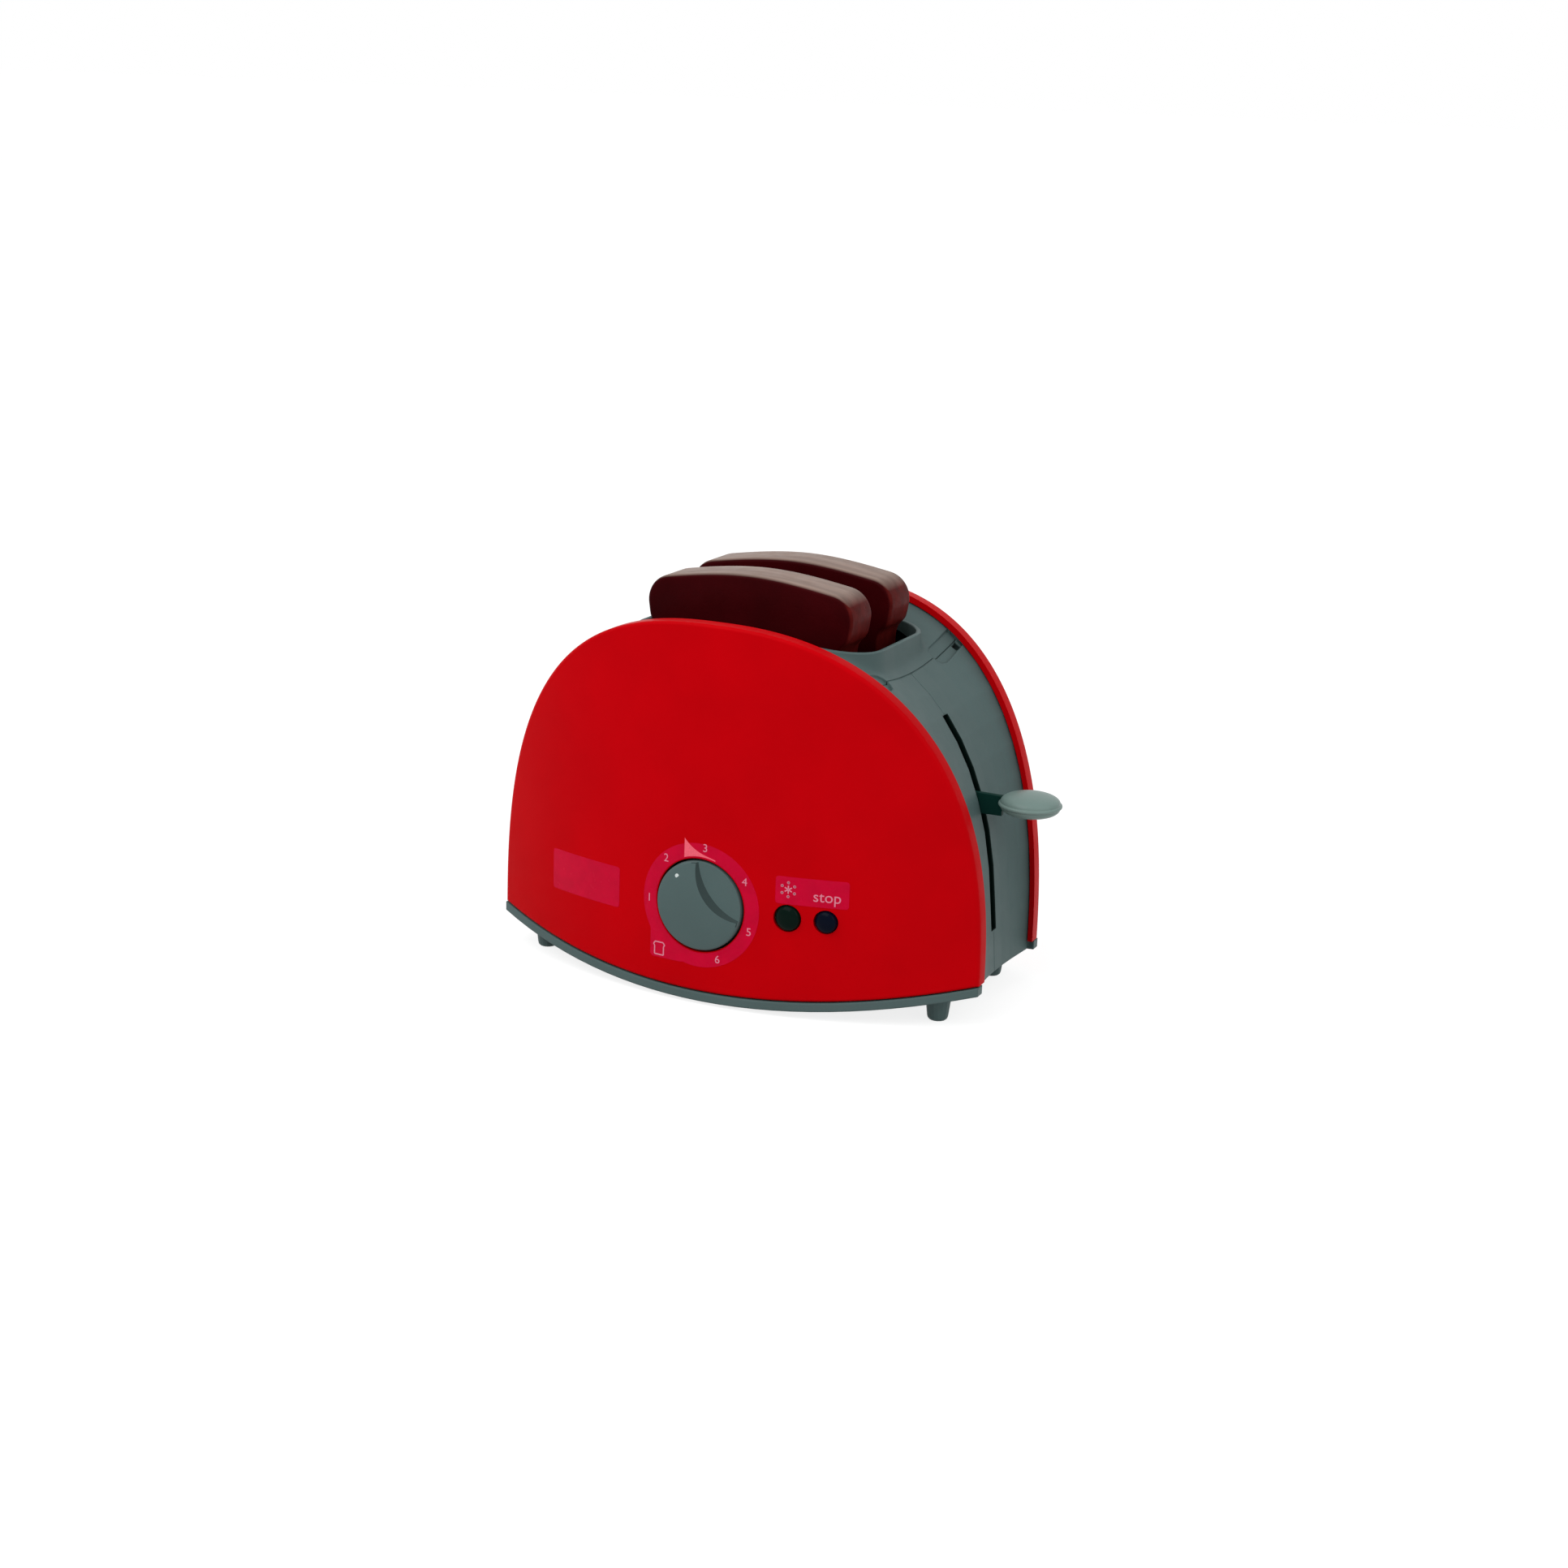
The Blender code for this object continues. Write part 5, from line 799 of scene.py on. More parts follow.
def recess_cutter(name, sign, side):
    """The shallow trough across a seam, round at its inner end, that runs to the panel."""
    end = bow_depth(SEAM_X) - PANEL_DEPTH
    start = end - RECESS_LENGTH
    radius = RECESS_WIDTH / 2
    step = FIT_GAP
    slope = (arch_height(SEAM_X, EDGE_INSET) - arch_height(SEAM_X + step, EDGE_INSET)) / step
    lean = math.cos(math.atan(slope))
    turns = [share * math.pi / 2 for share in RECESS_ROUND_SHARES]
    stations = [(start + radius * (1 - math.cos(a)), radius * math.sin(a)) for a in turns]
    stations += [((start + end) / 2, radius), (end + RECESS_DEPTH * 2, radius)]
    rings = []
    for y, half_width in stations:
        run = half_width * lean
        section = []
        for x in (SEAM_X - run, SEAM_X + run):
            section.append((x, band_level(x, y, EDGE_INSET) - RECESS_DEPTH / lean))
        for x in (SEAM_X + run, SEAM_X - run):
            section.append((x, band_level(x, y, EDGE_INSET) + OVERRUN))
        rings.append([(sign * x, side * y, z) for x, z in section])
    return loft(rings, name)


def saddle_mesh(name):
    """The grey saddle between the seams, with the smooth collar that grows out of it."""

    def ring(offset, level):
        return [(x, y, level(x, y)) for x, y in opening_outline(offset)]

    def under(x, y):
        return saddle_level(x, y) - BODY_WALL

    rings = [ring(0.0, under)]
    lip = arc((COLLAR_ROUND, -COLLAR_ROUND), COLLAR_ROUND, 180, 90, 4)
    lip += arc((COLLAR_WALL - COLLAR_ROUND, -COLLAR_ROUND), COLLAR_ROUND, 90, 30, 3)
    for offset, drop in lip:
        rings.append(ring(offset, lambda x, y, drop=drop: collar_level(x) + drop))
    crest_drop = lip[-1][1]
    for share in FOOT_SHARES:
        left = (1 - share) ** COLLAR_POWER

        def level(x, y, left=left):
            low = saddle_level(x, y)
            return low + (max(collar_level(x) + crest_drop, low) - low) * left

        rings.append(ring(COLLAR_WALL + COLLAR_FLARE * share, level))
    near, far = opening_outline(COLLAR_WALL + COLLAR_FLARE), saddle_edge()
    for share in APRON_SHARES:
        plan = [tuple(a + (b - a) * share for a, b in zip(p, q)) for p, q in zip(near, far)]
        rings.append([(x, y, saddle_level(x, y)) for x, y in plan])
    rings.append([(x, y, under(x, y)) for x, y in far])
    rings.append([(x, y, under(x, y)) for x, y in near])
    mesh = loft(rings + rings[:1], name, capped=False, degrees=40)
    cutters = [recess_cutter(f"{name} recess {x} {y}", x, y) for x in (-1, 1) for y in (-1, 1)]
    return carve(mesh, cutters, name, degrees=40)


# Slices


def slice_outline():
    """Right half of a slice from its crown to its foot, densely."""
    waist = SLICE_HALF_WIDTH - SLICE_WAIST
    shoulder_x = SLICE_HALF_WIDTH - SLICE_CORNER
    shoulder_z = SLICE_TOP - SLICE_CROWN - SLICE_CORNER
    shoulder = arc((shoulder_x, shoulder_z), SLICE_CORNER, SLICE_CORNER_START, -10, 14)
    start_x, drop = shoulder[0][0], SLICE_TOP - shoulder[0][1]
    fall = start_x * math.tan(math.radians(90 - SLICE_CORNER_START))
    square, cube = 3 * drop - fall, fall - 2 * drop
    shares = [k / CROWN_STEPS for k in range(CROWN_STEPS)]
    crown = [(start_x * s, SLICE_TOP - square * s**2 - cube * s**3) for s in shares]
    lobe_foot = SLICE_TOP - SLICE_NOTCH_DROP
    notch = [
        shoulder[-1],
        (SLICE_HALF_WIDTH - SLICE_WAIST * 0.25, (shoulder_z + lobe_foot) / 2 - SLICE_WAIST / 4),
        (waist + SLICE_WAIST * 0.2, lobe_foot + SLICE_WAIST / 4),
        (waist, lobe_foot - SLICE_WAIST / 2),
        (waist, lobe_foot - SLICE_WAIST * 2),
    ]
    under = smooth_run(notch, 5)
    foot = arc((waist - SLICE_FOOT_CORNER, SLICE_BOTTOM + SLICE_FOOT_CORNER), SLICE_FOOT_CORNER, 0, -90, 8)
    return crown + shoulder + under[1:] + foot


def smooth_run(points, steps):
    """A run through points with rounded bends between them."""
    ends = [points[0], *points, points[-1]]
    run = []
    for before, start, end, after in zip(ends, ends[1:], ends[2:], ends[3:]):
        for k in range(steps):
            t = k / steps
            weights = (
                -0.5 * t + t**2 - 0.5 * t**3,
                1 - 2.5 * t**2 + 1.5 * t**3,
                0.5 * t + 2 * t**2 - 1.5 * t**3,
                -0.5 * t**2 + 0.5 * t**3,
            )
            near = (before, start, end, after)
            run.append(tuple(sum(w * p[i] for w, p in zip(weights, near)) for i in (0, 1)))
    return [*run, tuple(points[-1])]


def shrink(outline, inset):
    """Moves each point of a closed outline inwards, square to its neighbours."""
    moved = []
    for i, (x, z) in enumerate(outline):
        before, after = outline[i - 1], outline[(i + 1) % len(outline)]
        run = Vector((after[0] - before[0], after[1] - before[1])).normalized()
        moved.append((x + run.y * inset, z - run.x * inset))
    return moved


def slice_mesh(name, side):
    """A thick play slice with a rounded crust."""
    edge = bpy.context.scene.toaster_sizes.slice_edge
    right = slice_outline()
    outline = right + [(-x, z) for x, z in reversed(right[1:])]
    half = SLICE_THICKNESS / 2
    rounding = arc((0.0, 0.0), 1.0, 180, 90, 6)
    steps = [(-half, edge), *[(-half + edge * (1 + c), edge * (1 - s)) for c, s in rounding][1:]]
    steps += [(-y, inset) for y, inset in reversed(steps)]
    rings = []
    for y, inset in steps:
        rings.append([(x, side * SLICE_Y + y, z) for x, z in shrink(outline, inset)])
    return loft(rings, name, degrees=50)


# Controls


def lens_mesh(name):
    """The lens-shaped thumb disc."""
    flat, edge = DISC_THICKNESS / 2, DISC_EDGE / 2
    upper = [(0.0, flat)]
    for k in range(1, DISC_DOME_STEPS + 1):
        turn = k / DISC_DOME_STEPS * math.pi / 2
        rise = max(math.cos(turn), 0.0) ** DISC_DOME_POWER
        upper.append(((DISC_RADIUS - edge) * math.sin(turn), edge + (flat - edge) * rise))
    rim = arc((DISC_RADIUS - edge, 0.0), edge, 75, -75, 8)
    profile = upper + rim + [(r, -h) for r, h in reversed(upper)]
    return spun(profile, name, 96, (DISC_X, 0.0, DISC_HEIGHT), degrees=60)


def scoop_place():
    """(x, z) of the middle of the turned cutter that makes the knob's scoop."""
    across = SCOOP_RADIUS + bpy.context.scene.toaster_sizes.grip_half_width
    return DIAL_X + across * math.cos(KNOB_ANGLE), DIAL_HEIGHT - across * math.sin(KNOB_ANGLE)


def knob_mesh(name):
    """The round knob: a broad grip beside a scoop whose wall slopes down to a flat floor."""
    rim = KNOB_PROUD - KNOB_DOME
    top = [(KNOB_DOME_RADIUS * k / 12, KNOB_PROUD - KNOB_DOME * (k / 12) ** 2) for k in range(12)]
    corner = arc((KNOB_RADIUS - KNOB_EDGE, rim - KNOB_EDGE), KNOB_EDGE, 80, 0, 7)
    foot = [(KNOB_RADIUS, KNOB_PROUD - KNOB_DEPTH), (0.0, KNOB_PROUD - KNOB_DEPTH)]
    front = -bow_depth(0.0)
    blank = spun(top + corner + foot, name, KNOB_SIDES, (DIAL_X, front, DIAL_HEIGHT), facing_front=True)
    bend = (SCOOP_RADIUS - SCOOP_SLOPE - SCOOP_ROUND, KNOB_PROUD - SCOOP_DEPTH + SCOOP_ROUND)
    wall = [(SCOOP_RADIUS + SCOOP_SLOPE, KNOB_PROUD + SCOOP_DEPTH), (SCOOP_RADIUS, KNOB_PROUD)]
    wall += arc(bend, SCOOP_ROUND, -40, -90, 5) + [(0.0, KNOB_PROUD - SCOOP_DEPTH)]
    x, z = scoop_place()
    scoop = spun(wall, f"{name} scoop", SCOOP_SIDES, (x, front, z), facing_front=True)
    return carve(blank, [scoop], name, degrees=24)


def shade_scoop(knob):
    """Gives the sloping wall of the knob's scoop a matt finish and a darker grey, which is painted shade."""
    knob.data.materials.append(material("grip plastic with painted shade"))
    x, z = scoop_place()
    for face in knob.data.polygons:
        place = face.center - MIDDLE
        reach = math.hypot(place.x - x, place.z - z)
        on_wall = SCOOP_RADIUS - SCOOP_SLOPE - SCOOP_ROUND < reach < SCOOP_RADIUS
        inner = math.hypot(place.x - DIAL_X, place.z - DIAL_HEIGHT) < KNOB_RADIUS - KNOB_EDGE / 2
        if on_wall and inner and abs(face.normal.y) < 0.97:
            face.material_index = 1


def spot_mesh(name):
    """The dot on the knob that points at a number."""
    x, z = DIAL_X + SPOT_REACH * math.sin(KNOB_ANGLE), DIAL_HEIGHT + SPOT_REACH * math.cos(KNOB_ANGLE)
    face = bow_depth(0.0) + KNOB_PROUD - KNOB_DOME * (SPOT_REACH / KNOB_DOME_RADIUS) ** 2
    dot = [(radius, face + lift) for radius, lift in SPOT_PROFILE]
    return spun(dot, name, 24, (x, 0.0, z), facing_front=True)


def button_mesh(name, x, radius):
    """The domed end of a push button, down to the depth of its hole."""
    tip = bow_depth(x) + BUTTON_PROUD
    sag = radius * BUTTON_SAG_SHARE
    turns = [BUTTON_DOME_TURN * k / 12 for k in range(13)]
    dome = [(radius * math.sin(a), tip - sag * (1 - math.cos(a))) for a in turns]
    dome.append((radius, tip - sag))
    wall = bow_depth(x) - PANEL_WALL * 2
    profile = dome + [(radius, wall), (0.0, wall)]
    return spun(profile, name, 64, (x, 0.0, BUTTON_HEIGHT), facing_front=True, degrees=40)


def coil_mesh(name, seat, axis, length, radius, turns):
    """A wire spring wound from its seat along an axis, with its end turns laid close."""
    across = Vector((1.0, 0.0, 0.0))
    aside = axis.cross(across)
    closed = 2 * COIL_WIRE
    build = bmesh.new()
    rings = []
    for k in range(COIL_STEPS * turns + 1):
        turn = k / COIL_STEPS
        opened = min(max((turn - 1) / (turns - 2), 0.0), 1.0)
        rise = closed * min(turn, 1.0) + (length - 2 * closed) * opened
        rise += closed * max(turn - turns + 1, 0.0)
        out = across * math.cos(2 * math.pi * turn) + aside * math.sin(2 * math.pi * turn)
        section = arc((radius, rise), COIL_WIRE, 0, 360, COIL_SIDES)[:-1]
        rings.append([build.verts.new(seat + out * reach + axis * level) for reach, level in section])
    for here, after in zip(rings, rings[1:]):
        for j in range(COIL_SIDES):
            build.faces.new((here[j], here[j - 1], after[j - 1], after[j]))
    for end in (rings[0], rings[-1]):
        build.faces.new(end)
    return mesh_from(build, name, 50)


def add_coil(name, node, joint, keep, fixed, seat, axis, *shape):
    """Puts a spring in its solid's place.

    fixed is 0 where the start of its solid's box stays put, and 1 where the end does; it is not used.
    """
    mesh = coil_mesh(name, seat, axis, *shape)
    coil = add_piece(name, mesh, "steel wire", "housing", (node,))
    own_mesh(coil)


# Printed films


def on_panel(x, z, lift):
    """A point on the front panel's bowed face, this far in front of it."""
    return (x, -bow_depth(x) - lift, z)


def lay_on_panel(outline_rows, name, low, high, closed=False):
    """A thin film from rows of (x, z) points with as many each, between two lifts above the panel.

    A closed film's last row lies on its first one, as in a ring.
    """
    build = bmesh.new()
    sheets = []
    for lift in (low, high):
        sheets.append([[build.verts.new(on_panel(x, z, lift)) for x, z in row] for row in outline_rows])
    rows, columns = len(outline_rows), len(outline_rows[0])
    for sheet in sheets:
        for i in range(rows - 1):
            for j in range(columns - 1):
                build.faces.new((sheet[i][j], sheet[i][j + 1], sheet[i + 1][j + 1], sheet[i + 1][j]))
    for i in range(rows - 1):
        for j in (0, columns - 1):
            build.faces.new((sheets[0][i][j], sheets[0][i + 1][j], sheets[1][i + 1][j], sheets[1][i][j]))
    for j in () if closed else range(columns - 1):
        for i in (0, rows - 1):
            build.faces.new((sheets[0][i][j], sheets[0][i][j + 1], sheets[1][i][j + 1], sheets[1][i][j]))
    bmesh.ops.remove_doubles(build, verts=build.verts, dist=1e-8)
    return mesh_from(build, name)


def polar(radius, degrees_from_top):
    """(x, z) of a point round the dial, clockwise from its top."""
    a = math.radians(degrees_from_top)
    return DIAL_X + radius * math.sin(a), DIAL_HEIGHT + radius * math.cos(a)


def ring_rows(inner, outer):
    """Rows of the film round the knob, which has a square corner at its lower left."""
    start, end = RING_CORNER_ANGLES
    rows = []
    for k in range(RING_STEPS + 1):
        angle = -180.0 + 360.0 * k / RING_STEPS
        reach = outer
        if start < angle < end:
            across, down = abs(math.sin(math.radians(angle))), abs(math.cos(math.radians(angle)))
            reach = max(outer, min(RING_CORNER[0] / across, RING_CORNER[1] / down))
        rows.append([polar(inner + (reach - inner) * t / 3, angle) for t in range(4)])
    return rows


def wedge_rows():
    """Rows of the browning wedge above the dial, high at its left end."""
    rows = []
    for k in range(WEDGE_STEPS + 1):
        x = WEDGE_START + WEDGE_LENGTH * k / WEDGE_STEPS
        foot = math.sqrt(WEDGE_REACH**2 - x**2)
        rise = WEDGE_LOW + WEDGE_RISE * (1 - k / WEDGE_STEPS) ** WEDGE_POWER
        rows.append([(DIAL_X + x, DIAL_HEIGHT + foot + rise * t / 3) for t in range(4)])
    return rows


def patch_rows(x0, x1, z0, z1):
    """Rows of a rectangle with round corners."""
    insets = [PATCH_CORNER * (1 - math.cos(math.pi / 2 * k / 5)) for k in range(6)]
    stops = {x0, x1, *[x0 + (x1 - x0) * k / PATCH_STEPS for k in range(PATCH_STEPS + 1)]}
    stops |= {x0 + inset for inset in insets} | {x1 - inset for inset in insets}
    rows = []
    for x in sorted(stops):
        reach = min(x - x0, x1 - x, PATCH_CORNER)
        cut = PATCH_CORNER - math.sqrt(max(PATCH_CORNER**2 - (PATCH_CORNER - reach) ** 2, 0.0))
        cut = min(cut, PATCH_CORNER * 0.98)
        rows.append([(x, z0 + cut), (x, (z0 + z1) / 2), (x, z1 - cut)])
    return rows


def word_mesh(text, name, x, z, height, low, high):
    """Printed characters, centred at a place on the front panel."""
    curve = bpy.data.curves.new(name, "FONT")
    curve.body = text
    curve.size = height / CAPITAL_SHARE
    curve.align_x = "CENTER"
    curve.align_y = "CENTER"
    curve.resolution_u = 6
    curve.extrude = (high - low) / 2
    guide = bpy.data.objects.new(f"{name} guide", curve)
    bpy.context.scene.collection.objects.link(guide)
    graph = bpy.context.evaluated_depsgraph_get()
    mesh = bpy.data.meshes.new_from_object(guide.evaluated_get(graph))
    bpy.data.objects.remove(guide)
    middle = (low + high) / 2
    for vertex in mesh.vertices:
        px, pz, lift = vertex.co
        vertex.co = on_panel(x + px, z + pz, middle + lift)
    mesh.materials.clear()
    return mesh


def joined(meshes, name):
    """Several meshes as one."""
    build = bmesh.new()
    for mesh in meshes:
        build.from_mesh(mesh)
        bpy.data.meshes.remove(mesh)
    result = bpy.data.meshes.new(name)
    build.to_mesh(result)
    build.free()
    return result


def stroke_rows(start, end, width):
    """A straight printed stroke between two (x, z) places."""
    run = Vector(end) - Vector(start)
    side = Vector((-run.y, run.x)).normalized() * (width / 2)
    rows = []
    for share in (0.0, 0.5, 1.0):
        middle = Vector(start) + run * share
        rows.append([tuple(middle - side), tuple(middle + side)])
    return rows


def dot_rows(x, z, radius):
    """A printed dot, as rings of points."""
    rows = []
    for k in range(25):
        a = 2 * math.pi * k / 24
        rows.append([(x, z), (x + radius * math.cos(a), z + radius * math.sin(a))])
    return rows


def snowflake(x, z, radius, low, high):
    """A frost sign: a small star with a dot beyond each arm."""
    marks = []
    for k in range(6):
        a = math.pi * (k + 0.5) / 3
        reaches = (-radius * 0.05, radius * 0.55, radius * 0.95)
        near, tip, end = ((x + reach * math.cos(a), z + reach * math.sin(a)) for reach in reaches)
        marks.append(lay_on_panel(stroke_rows(near, tip, radius * 0.16), f"frost arm {k}", low, high))
        marks.append(lay_on_panel(dot_rows(*end, radius * 0.20), f"frost dot {k}", low, high))
    return marks


def slice_sign(x, z, size, low, high):
    """A small outline of a bread slice."""
    half = size / 2
    corners = [(-half * 0.8, -half), (half * 0.8, -half), (half * 0.8, half * 0.35), (half, half * 0.6)]
    corners += [(half * 0.7, half), (-half * 0.7, half), (-half, half * 0.6), (-half * 0.8, half * 0.35)]
    marks = []
    for here, after in zip(corners, corners[1:] + corners[:1]):
        start, end = (x + here[0], z + here[1]), (x + after[0], z + after[1])
        marks.append(lay_on_panel(stroke_rows(start, end, size * 0.10), "slice sign", low, high))
    return marks


# Stage


def aim_camera(scene, lens):
    """The photograph's viewpoint."""
    yaw, pitch, roll = (math.radians(turn) for turn in CAMERA_TURNS)
    back = Vector((math.sin(yaw) * math.cos(pitch), -math.cos(yaw) * math.cos(pitch), math.sin(pitch)))
    right = Vector((math.cos(yaw), math.sin(yaw), 0.0))
    up = back.cross(right)
    turned_right = right * math.cos(roll) + up * math.sin(roll)
    turned_up = -right * math.sin(roll) + up * math.cos(roll)
    data = bpy.data.cameras.new("viewpoint")
    data.lens = lens
    data.sensor_width = SENSOR_WIDTH
    data.clip_start = 0.01
    camera = bpy.data.objects.new("viewpoint", data)
    columns = Matrix((turned_right, turned_up, back)).transposed().to_4x4()
    camera.matrix_world = Matrix.Translation(CAMERA_PLACE) @ columns
    scene.collection.objects.link(camera)
    scene.camera = camera


def seen_or_plain(tree, plain, seen, output):
    """Shows one shader to the camera, its reflections and its views through things, and a plain one else."""
    path = tree.nodes.new("ShaderNodeLightPath").outputs
    mask = compute(tree, "MAXIMUM", path["Is Camera Ray"], path["Is Glossy Ray"])
    mask = compute(tree, "MAXIMUM", mask, path["Is Transmission Ray"])
    choice = tree.nodes.new("ShaderNodeMixShader")
    for socket, source in zip(choice.inputs, (mask, plain, seen)):
        tree.links.new(source, socket)
    tree.links.new(choice.outputs[0], tree.nodes.new(output).inputs["Surface"])


def even(value):
    """A grey of this value, with its alpha."""
    return (value, value, value, 1.0)


def lay_floor(scene):
    """A wide pale floor that shows white to the camera but for the toaster's soft shadow."""
    build = bmesh.new()
    bmesh.ops.create_grid(build, x_segments=2, y_segments=2, size=FLOOR_SIZE)
    mesh = bpy.data.meshes.new("pale_floor")
    build.to_mesh(mesh)
    build.free()
    floor = bpy.data.objects.new("pale_floor", mesh)
    scene.collection.objects.link(floor)
    paint = bpy.data.materials.new("pale floor")
    paint.use_nodes = True
    tree = paint.node_tree
    tree.nodes.clear()
    plain = new_node(tree, "ShaderNodeBsdfDiffuse", color=even(FLOOR_GREY))
    shadowed = new_node(tree, "ShaderNodeBsdfDiffuse", color=even(SHADOW_GREY))
    glow = new_node(tree, "ShaderNodeEmission", color=even(1.0), strength=FLOOR_GLOW)
    both = tree.nodes.new("ShaderNodeAddShader")
    tree.links.new(shadowed.outputs[0], both.inputs[0])
    tree.links.new(glow.outputs[0], both.inputs[1])
    seen_or_plain(tree, plain.outputs[0], both.outputs[0], "ShaderNodeOutputMaterial")
    mesh.materials.append(paint)
    floor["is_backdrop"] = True


def light_world(scene, strength):
    """Even light from all round, white to the camera and in reflections."""
    world = bpy.data.worlds.new("studio")
    scene.world = world
    world.use_nodes = True
    tree = world.node_tree
    tree.nodes.clear()
    around = new_node(tree, "ShaderNodeBackground", color=even(1.0), strength=strength)
    white = new_node(tree, "ShaderNodeBackground", color=even(1.0), strength=1.0)
    seen_or_plain(tree, around.outputs[0], white.outputs[0], "ShaderNodeOutputWorld")


def hang_lamp(scene, name, place, target, size, power):
    """A square softbox that faces the toaster."""
    data = bpy.data.lights.new(name, "AREA")
    data.shape = "SQUARE"
    data.size = size
    data.energy = power
    lamp = bpy.data.objects.new(name, data)
    lamp.location = place
    lamp.rotation_euler = (Vector(target) - Vector(place)).to_track_quat("-Z", "Y").to_euler()
    scene.collection.objects.link(lamp)


# Operators


class TOASTER_OT_panels(bpy.types.Operator):
    """Build the two bowed red panels"""

    bl_idname = "toaster.panels"
    bl_label = "Red panels"

    def execute(self, context):
        for name, node, side in (("front_shell", "front_panel", -1), ("rear_shell", "rear_panel", 1)):
            mesh = panel_mesh(name, side)
            add_piece(name, mesh, "panel plastic", "housing", (node,))
        return {"FINISHED"}


class TOASTER_OT_housing(bpy.types.Operator):
    """Finish the grey housing, its base and its screws"""

    bl_idname = "toaster.housing"
    bl_label = "Grey housing"

    def execute(self, context):
        for node in ("body_front", "body_rear"):
            coat_node(node, "walled plastic")
        coat_node("base_plate", "housing plastic")
        mesh = saddle_mesh("saddle")
        add_piece("saddle", mesh, "housing plastic", "housing", ("top_frame",))
        for k in range(4):
            coat_node(f"base_screw_{k + 1}", "steel wire")
        return {"FINISHED"}


class TOASTER_OT_inside(bpy.types.Operator):
    """Finish the chute, carriage, springs, latch and clockwork"""

    bl_idname = "toaster.inside"
    bl_label = "Works inside"

    def execute(self, context):
        finishes = {
            "inner plastic": ("chute", "clock_case", "latch_hook"),
            "arm plastic": ("carriage",),
            # Painted shade: the clock plate is coated near black behind the gap round the knob.
            "sheet darkened as painted shade": ("clock_plate",),
            "steel wire": (
                "guide_rod_left",
                "guide_rod_right",
                "timer_shaft",
                "mainspring",
                "clock_screw_1",
                "clock_screw_2",
                "clock_screw_3",
                "latch_pin",
                "defrost_spring",
            ),
            "brass sheet": ("drive_gear", "escape_pinion"),
        }
        for finish, nodes in finishes.items():
            for node in nodes:
                coat_node(node, finish)
        for side, x in (("left", -ROD_X), ("right", ROD_X)):
            shape = (Vector((x, 0.0, LIFT_SEAT)), UPWARD, LIFT_LENGTH, LIFT_RADIUS, LIFT_TURNS)
            add_coil(f"lift_coil_{side}", f"lift_spring_{side}", "lever_slide", LIFT_KEEP, 0, *shape)
        seat = Vector((STOP_X, LATCH_SEAT, BUTTON_HEIGHT))
        shape = (seat, BACKWARD, LATCH_LENGTH, LATCH_RADIUS, LATCH_TURNS)
        add_coil("latch_coil", "latch_spring", "stop_push", LATCH_KEEP, 1, *shape)
        return {"FINISHED"}


class TOASTER_OT_slices(bpy.types.Operator):
    """Build the two play slices"""

    bl_idname = "toaster.slices"
    bl_label = "Play slices"

    def execute(self, context):
        for name, node, body, side in (
            ("front_slice", "toast_front", "slice_front", -1),
            ("rear_slice", "toast_rear", "slice_rear", 1),
        ):
            add_piece(name, slice_mesh(name, side), "slice plastic", body, (node,))
        return {"FINISHED"}


class TOASTER_OT_controls(bpy.types.Operator):
    """Build the timer knob, the two buttons and the lever's disc"""

    bl_idname = "toaster.controls"
    bl_label = "Knob, buttons and lever"

    def execute(self, context):
        mesh = knob_mesh("knob")
        shade_scoop(add_piece("knob", mesh, "housing plastic", "dial", ("timer_knob",)))
        add_piece("knob_spot", spot_mesh("knob_spot"), "pointer ink", "dial")
        for name, node, body, finish, x, radius in (
            ("defrost_cap", "defrost_button", "defrost", "defrost plastic", DEFROST_X, DEFROST_RADIUS),
            ("stop_cap", "stop_button", "stop", "stop plastic", STOP_X, STOP_RADIUS),
        ):
            add_piece(name, button_mesh(name, x, radius), finish, body, (node,))
        mesh = lens_mesh("thumb_disc")
        add_piece("thumb_disc", mesh, "disc plastic", "carriage", ("lever_disc",))
        return {"FINISHED"}


class TOASTER_OT_labels(bpy.types.Operator):
    """Build the printed films on the front panel"""

    bl_idname = "toaster.labels"
    bl_label = "Printed films"

    def execute(self, context):
        sizes = context.scene.toaster_sizes
        top = FILM_LIFT + sizes.film_thickness
        ink_top = top + INK_THICKNESS
        ring = ring_rows(sizes.ring_inner, sizes.ring_outer)
        for name, rows in (
            ("dial_film", ring),
            ("button_film", patch_rows(*BUTTON_PATCH)),
            ("plain_film", patch_rows(*PLAIN_PATCH)),
        ):
            mesh = lay_on_panel(rows, name, FILM_LIFT, top, closed=rows is ring)
            add_piece(name, mesh, "label film", "housing")

        wedge = lay_on_panel(wedge_rows(), "wedge_print", top, ink_top)
        add_piece("wedge_print", wedge, "wedge ink", "housing")

        marks = []
        for text, angle in NUMERALS:
            x, z = polar(WEDGE_NUMERAL_REACH if text == WEDGE_NUMERAL else NUMERAL_REACH, angle)
            marks.append(word_mesh(text, f"numeral {text}", x, z, sizes.numeral_height, top, ink_top))
        marks.append(word_mesh("stop", "stop word", *STOP_WORD, top, ink_top))
        marks += snowflake(*FROST_SIGN, top, ink_top)
        marks += slice_sign(*polar(*SLICE_SIGN_PLACE), SLICE_SIGN_SIZE, top, ink_top)
        add_piece("signs_print", joined(marks, "signs_print"), "print ink", "housing")
        return {"FINISHED"}


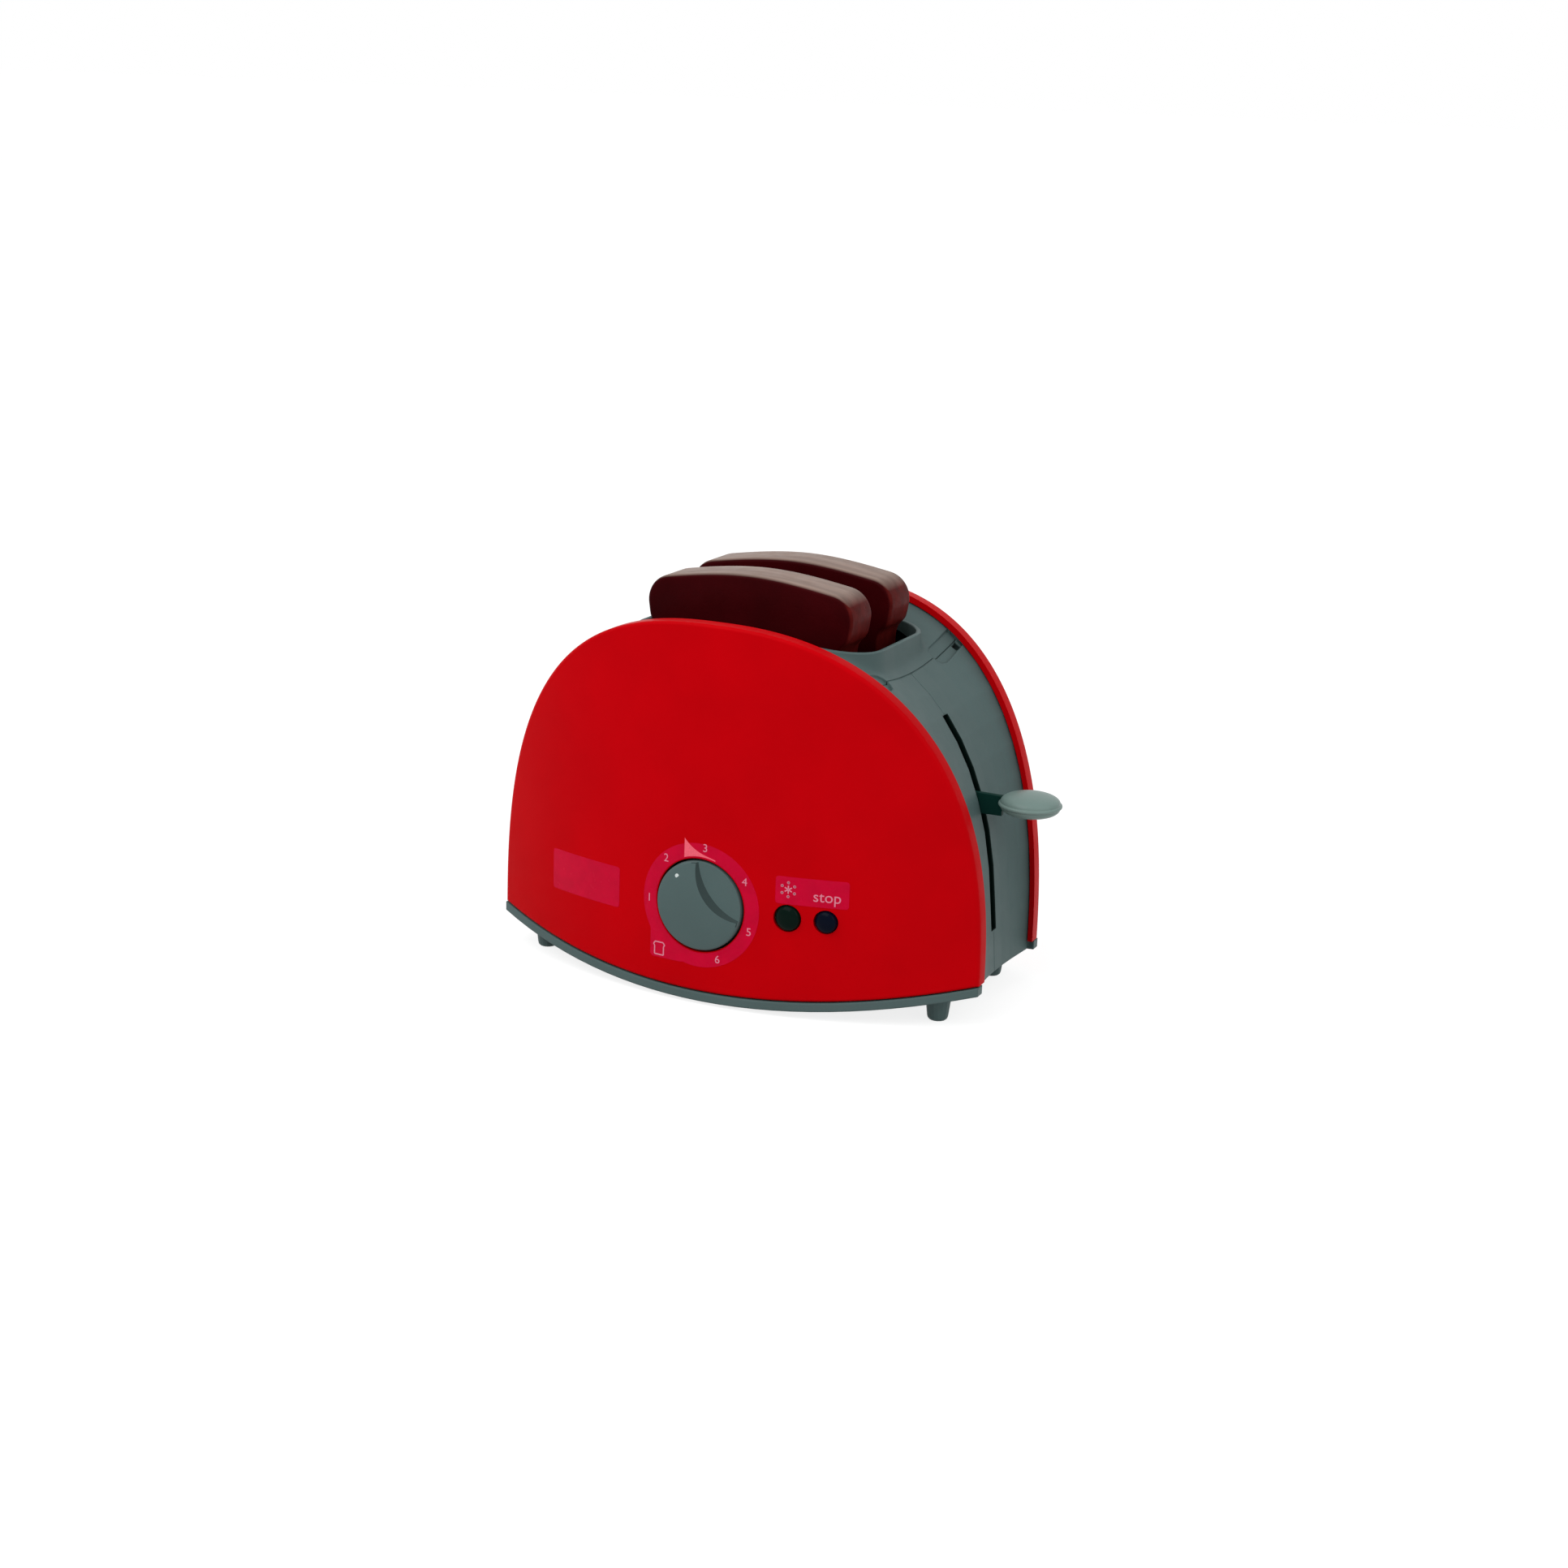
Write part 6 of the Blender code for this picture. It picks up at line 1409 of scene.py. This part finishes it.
class TOASTER_OT_stage(bpy.types.Operator):
    """Set up the camera, the pale floor and the studio light"""

    bl_idname = "toaster.stage"
    bl_label = "Stage"

    def execute(self, context):
        scene, settings = context.scene, context.scene.toaster_stage
        aim_camera(scene, settings.lens)
        lay_floor(scene)
        light_world(scene, settings.ambient)
        hang_lamp(scene, "key lamp", *KEY_LAMP, settings.key_power)
        hang_lamp(scene, "fill lamp", *FILL_LAMP, settings.fill_power)
        scene.view_settings.view_transform = "Standard"
        return {"FINISHED"}


STEPS = (
    TOASTER_OT_panels,
    TOASTER_OT_housing,
    TOASTER_OT_inside,
    TOASTER_OT_slices,
    TOASTER_OT_controls,
    TOASTER_OT_labels,
    TOASTER_OT_stage,
)


class TOASTER_PT_dressing(bpy.types.Panel):
    """Lists the toaster's sizes, colours and building steps"""

    bl_idname = "TOASTER_PT_dressing"
    bl_label = "Toy Toaster"
    bl_space_type = "VIEW_3D"
    bl_region_type = "UI"
    bl_category = "Toy Toaster"

    def draw(self, context):
        for step in STEPS:
            self.layout.operator(step.bl_idname)
        scene = context.scene
        for group in (scene.toaster_sizes, scene.toaster_colours, scene.toaster_stage):
            box = self.layout.box()
            for key in group.__annotations__:
                box.prop(group, key)


CLASSES = (ToasterSizes, ToasterColours, ToasterStage, *STEPS, TOASTER_PT_dressing)


def register():
    for item in CLASSES:
        bpy.utils.register_class(item)
    bpy.types.Scene.toaster_sizes = bpy.props.PointerProperty(type=ToasterSizes)
    bpy.types.Scene.toaster_colours = bpy.props.PointerProperty(type=ToasterColours)
    bpy.types.Scene.toaster_stage = bpy.props.PointerProperty(type=ToasterStage)


def unregister():
    for name in ("toaster_sizes", "toaster_colours", "toaster_stage"):
        delattr(bpy.types.Scene, name)
    for item in reversed(CLASSES):
        bpy.utils.unregister_class(item)


def plain(value):
    """A box as plain lists of numbers."""
    return [[float(number) for number in corner] for corner in value]


def main():
    register()
    for step in STEPS:
        group, name = step.bl_idname.split(".")
        getattr(getattr(bpy.ops, group), name)()
    {"cad": plain(CAD_BOX), "visual": plain(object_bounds())}


if __name__ == "__main__":
    main()
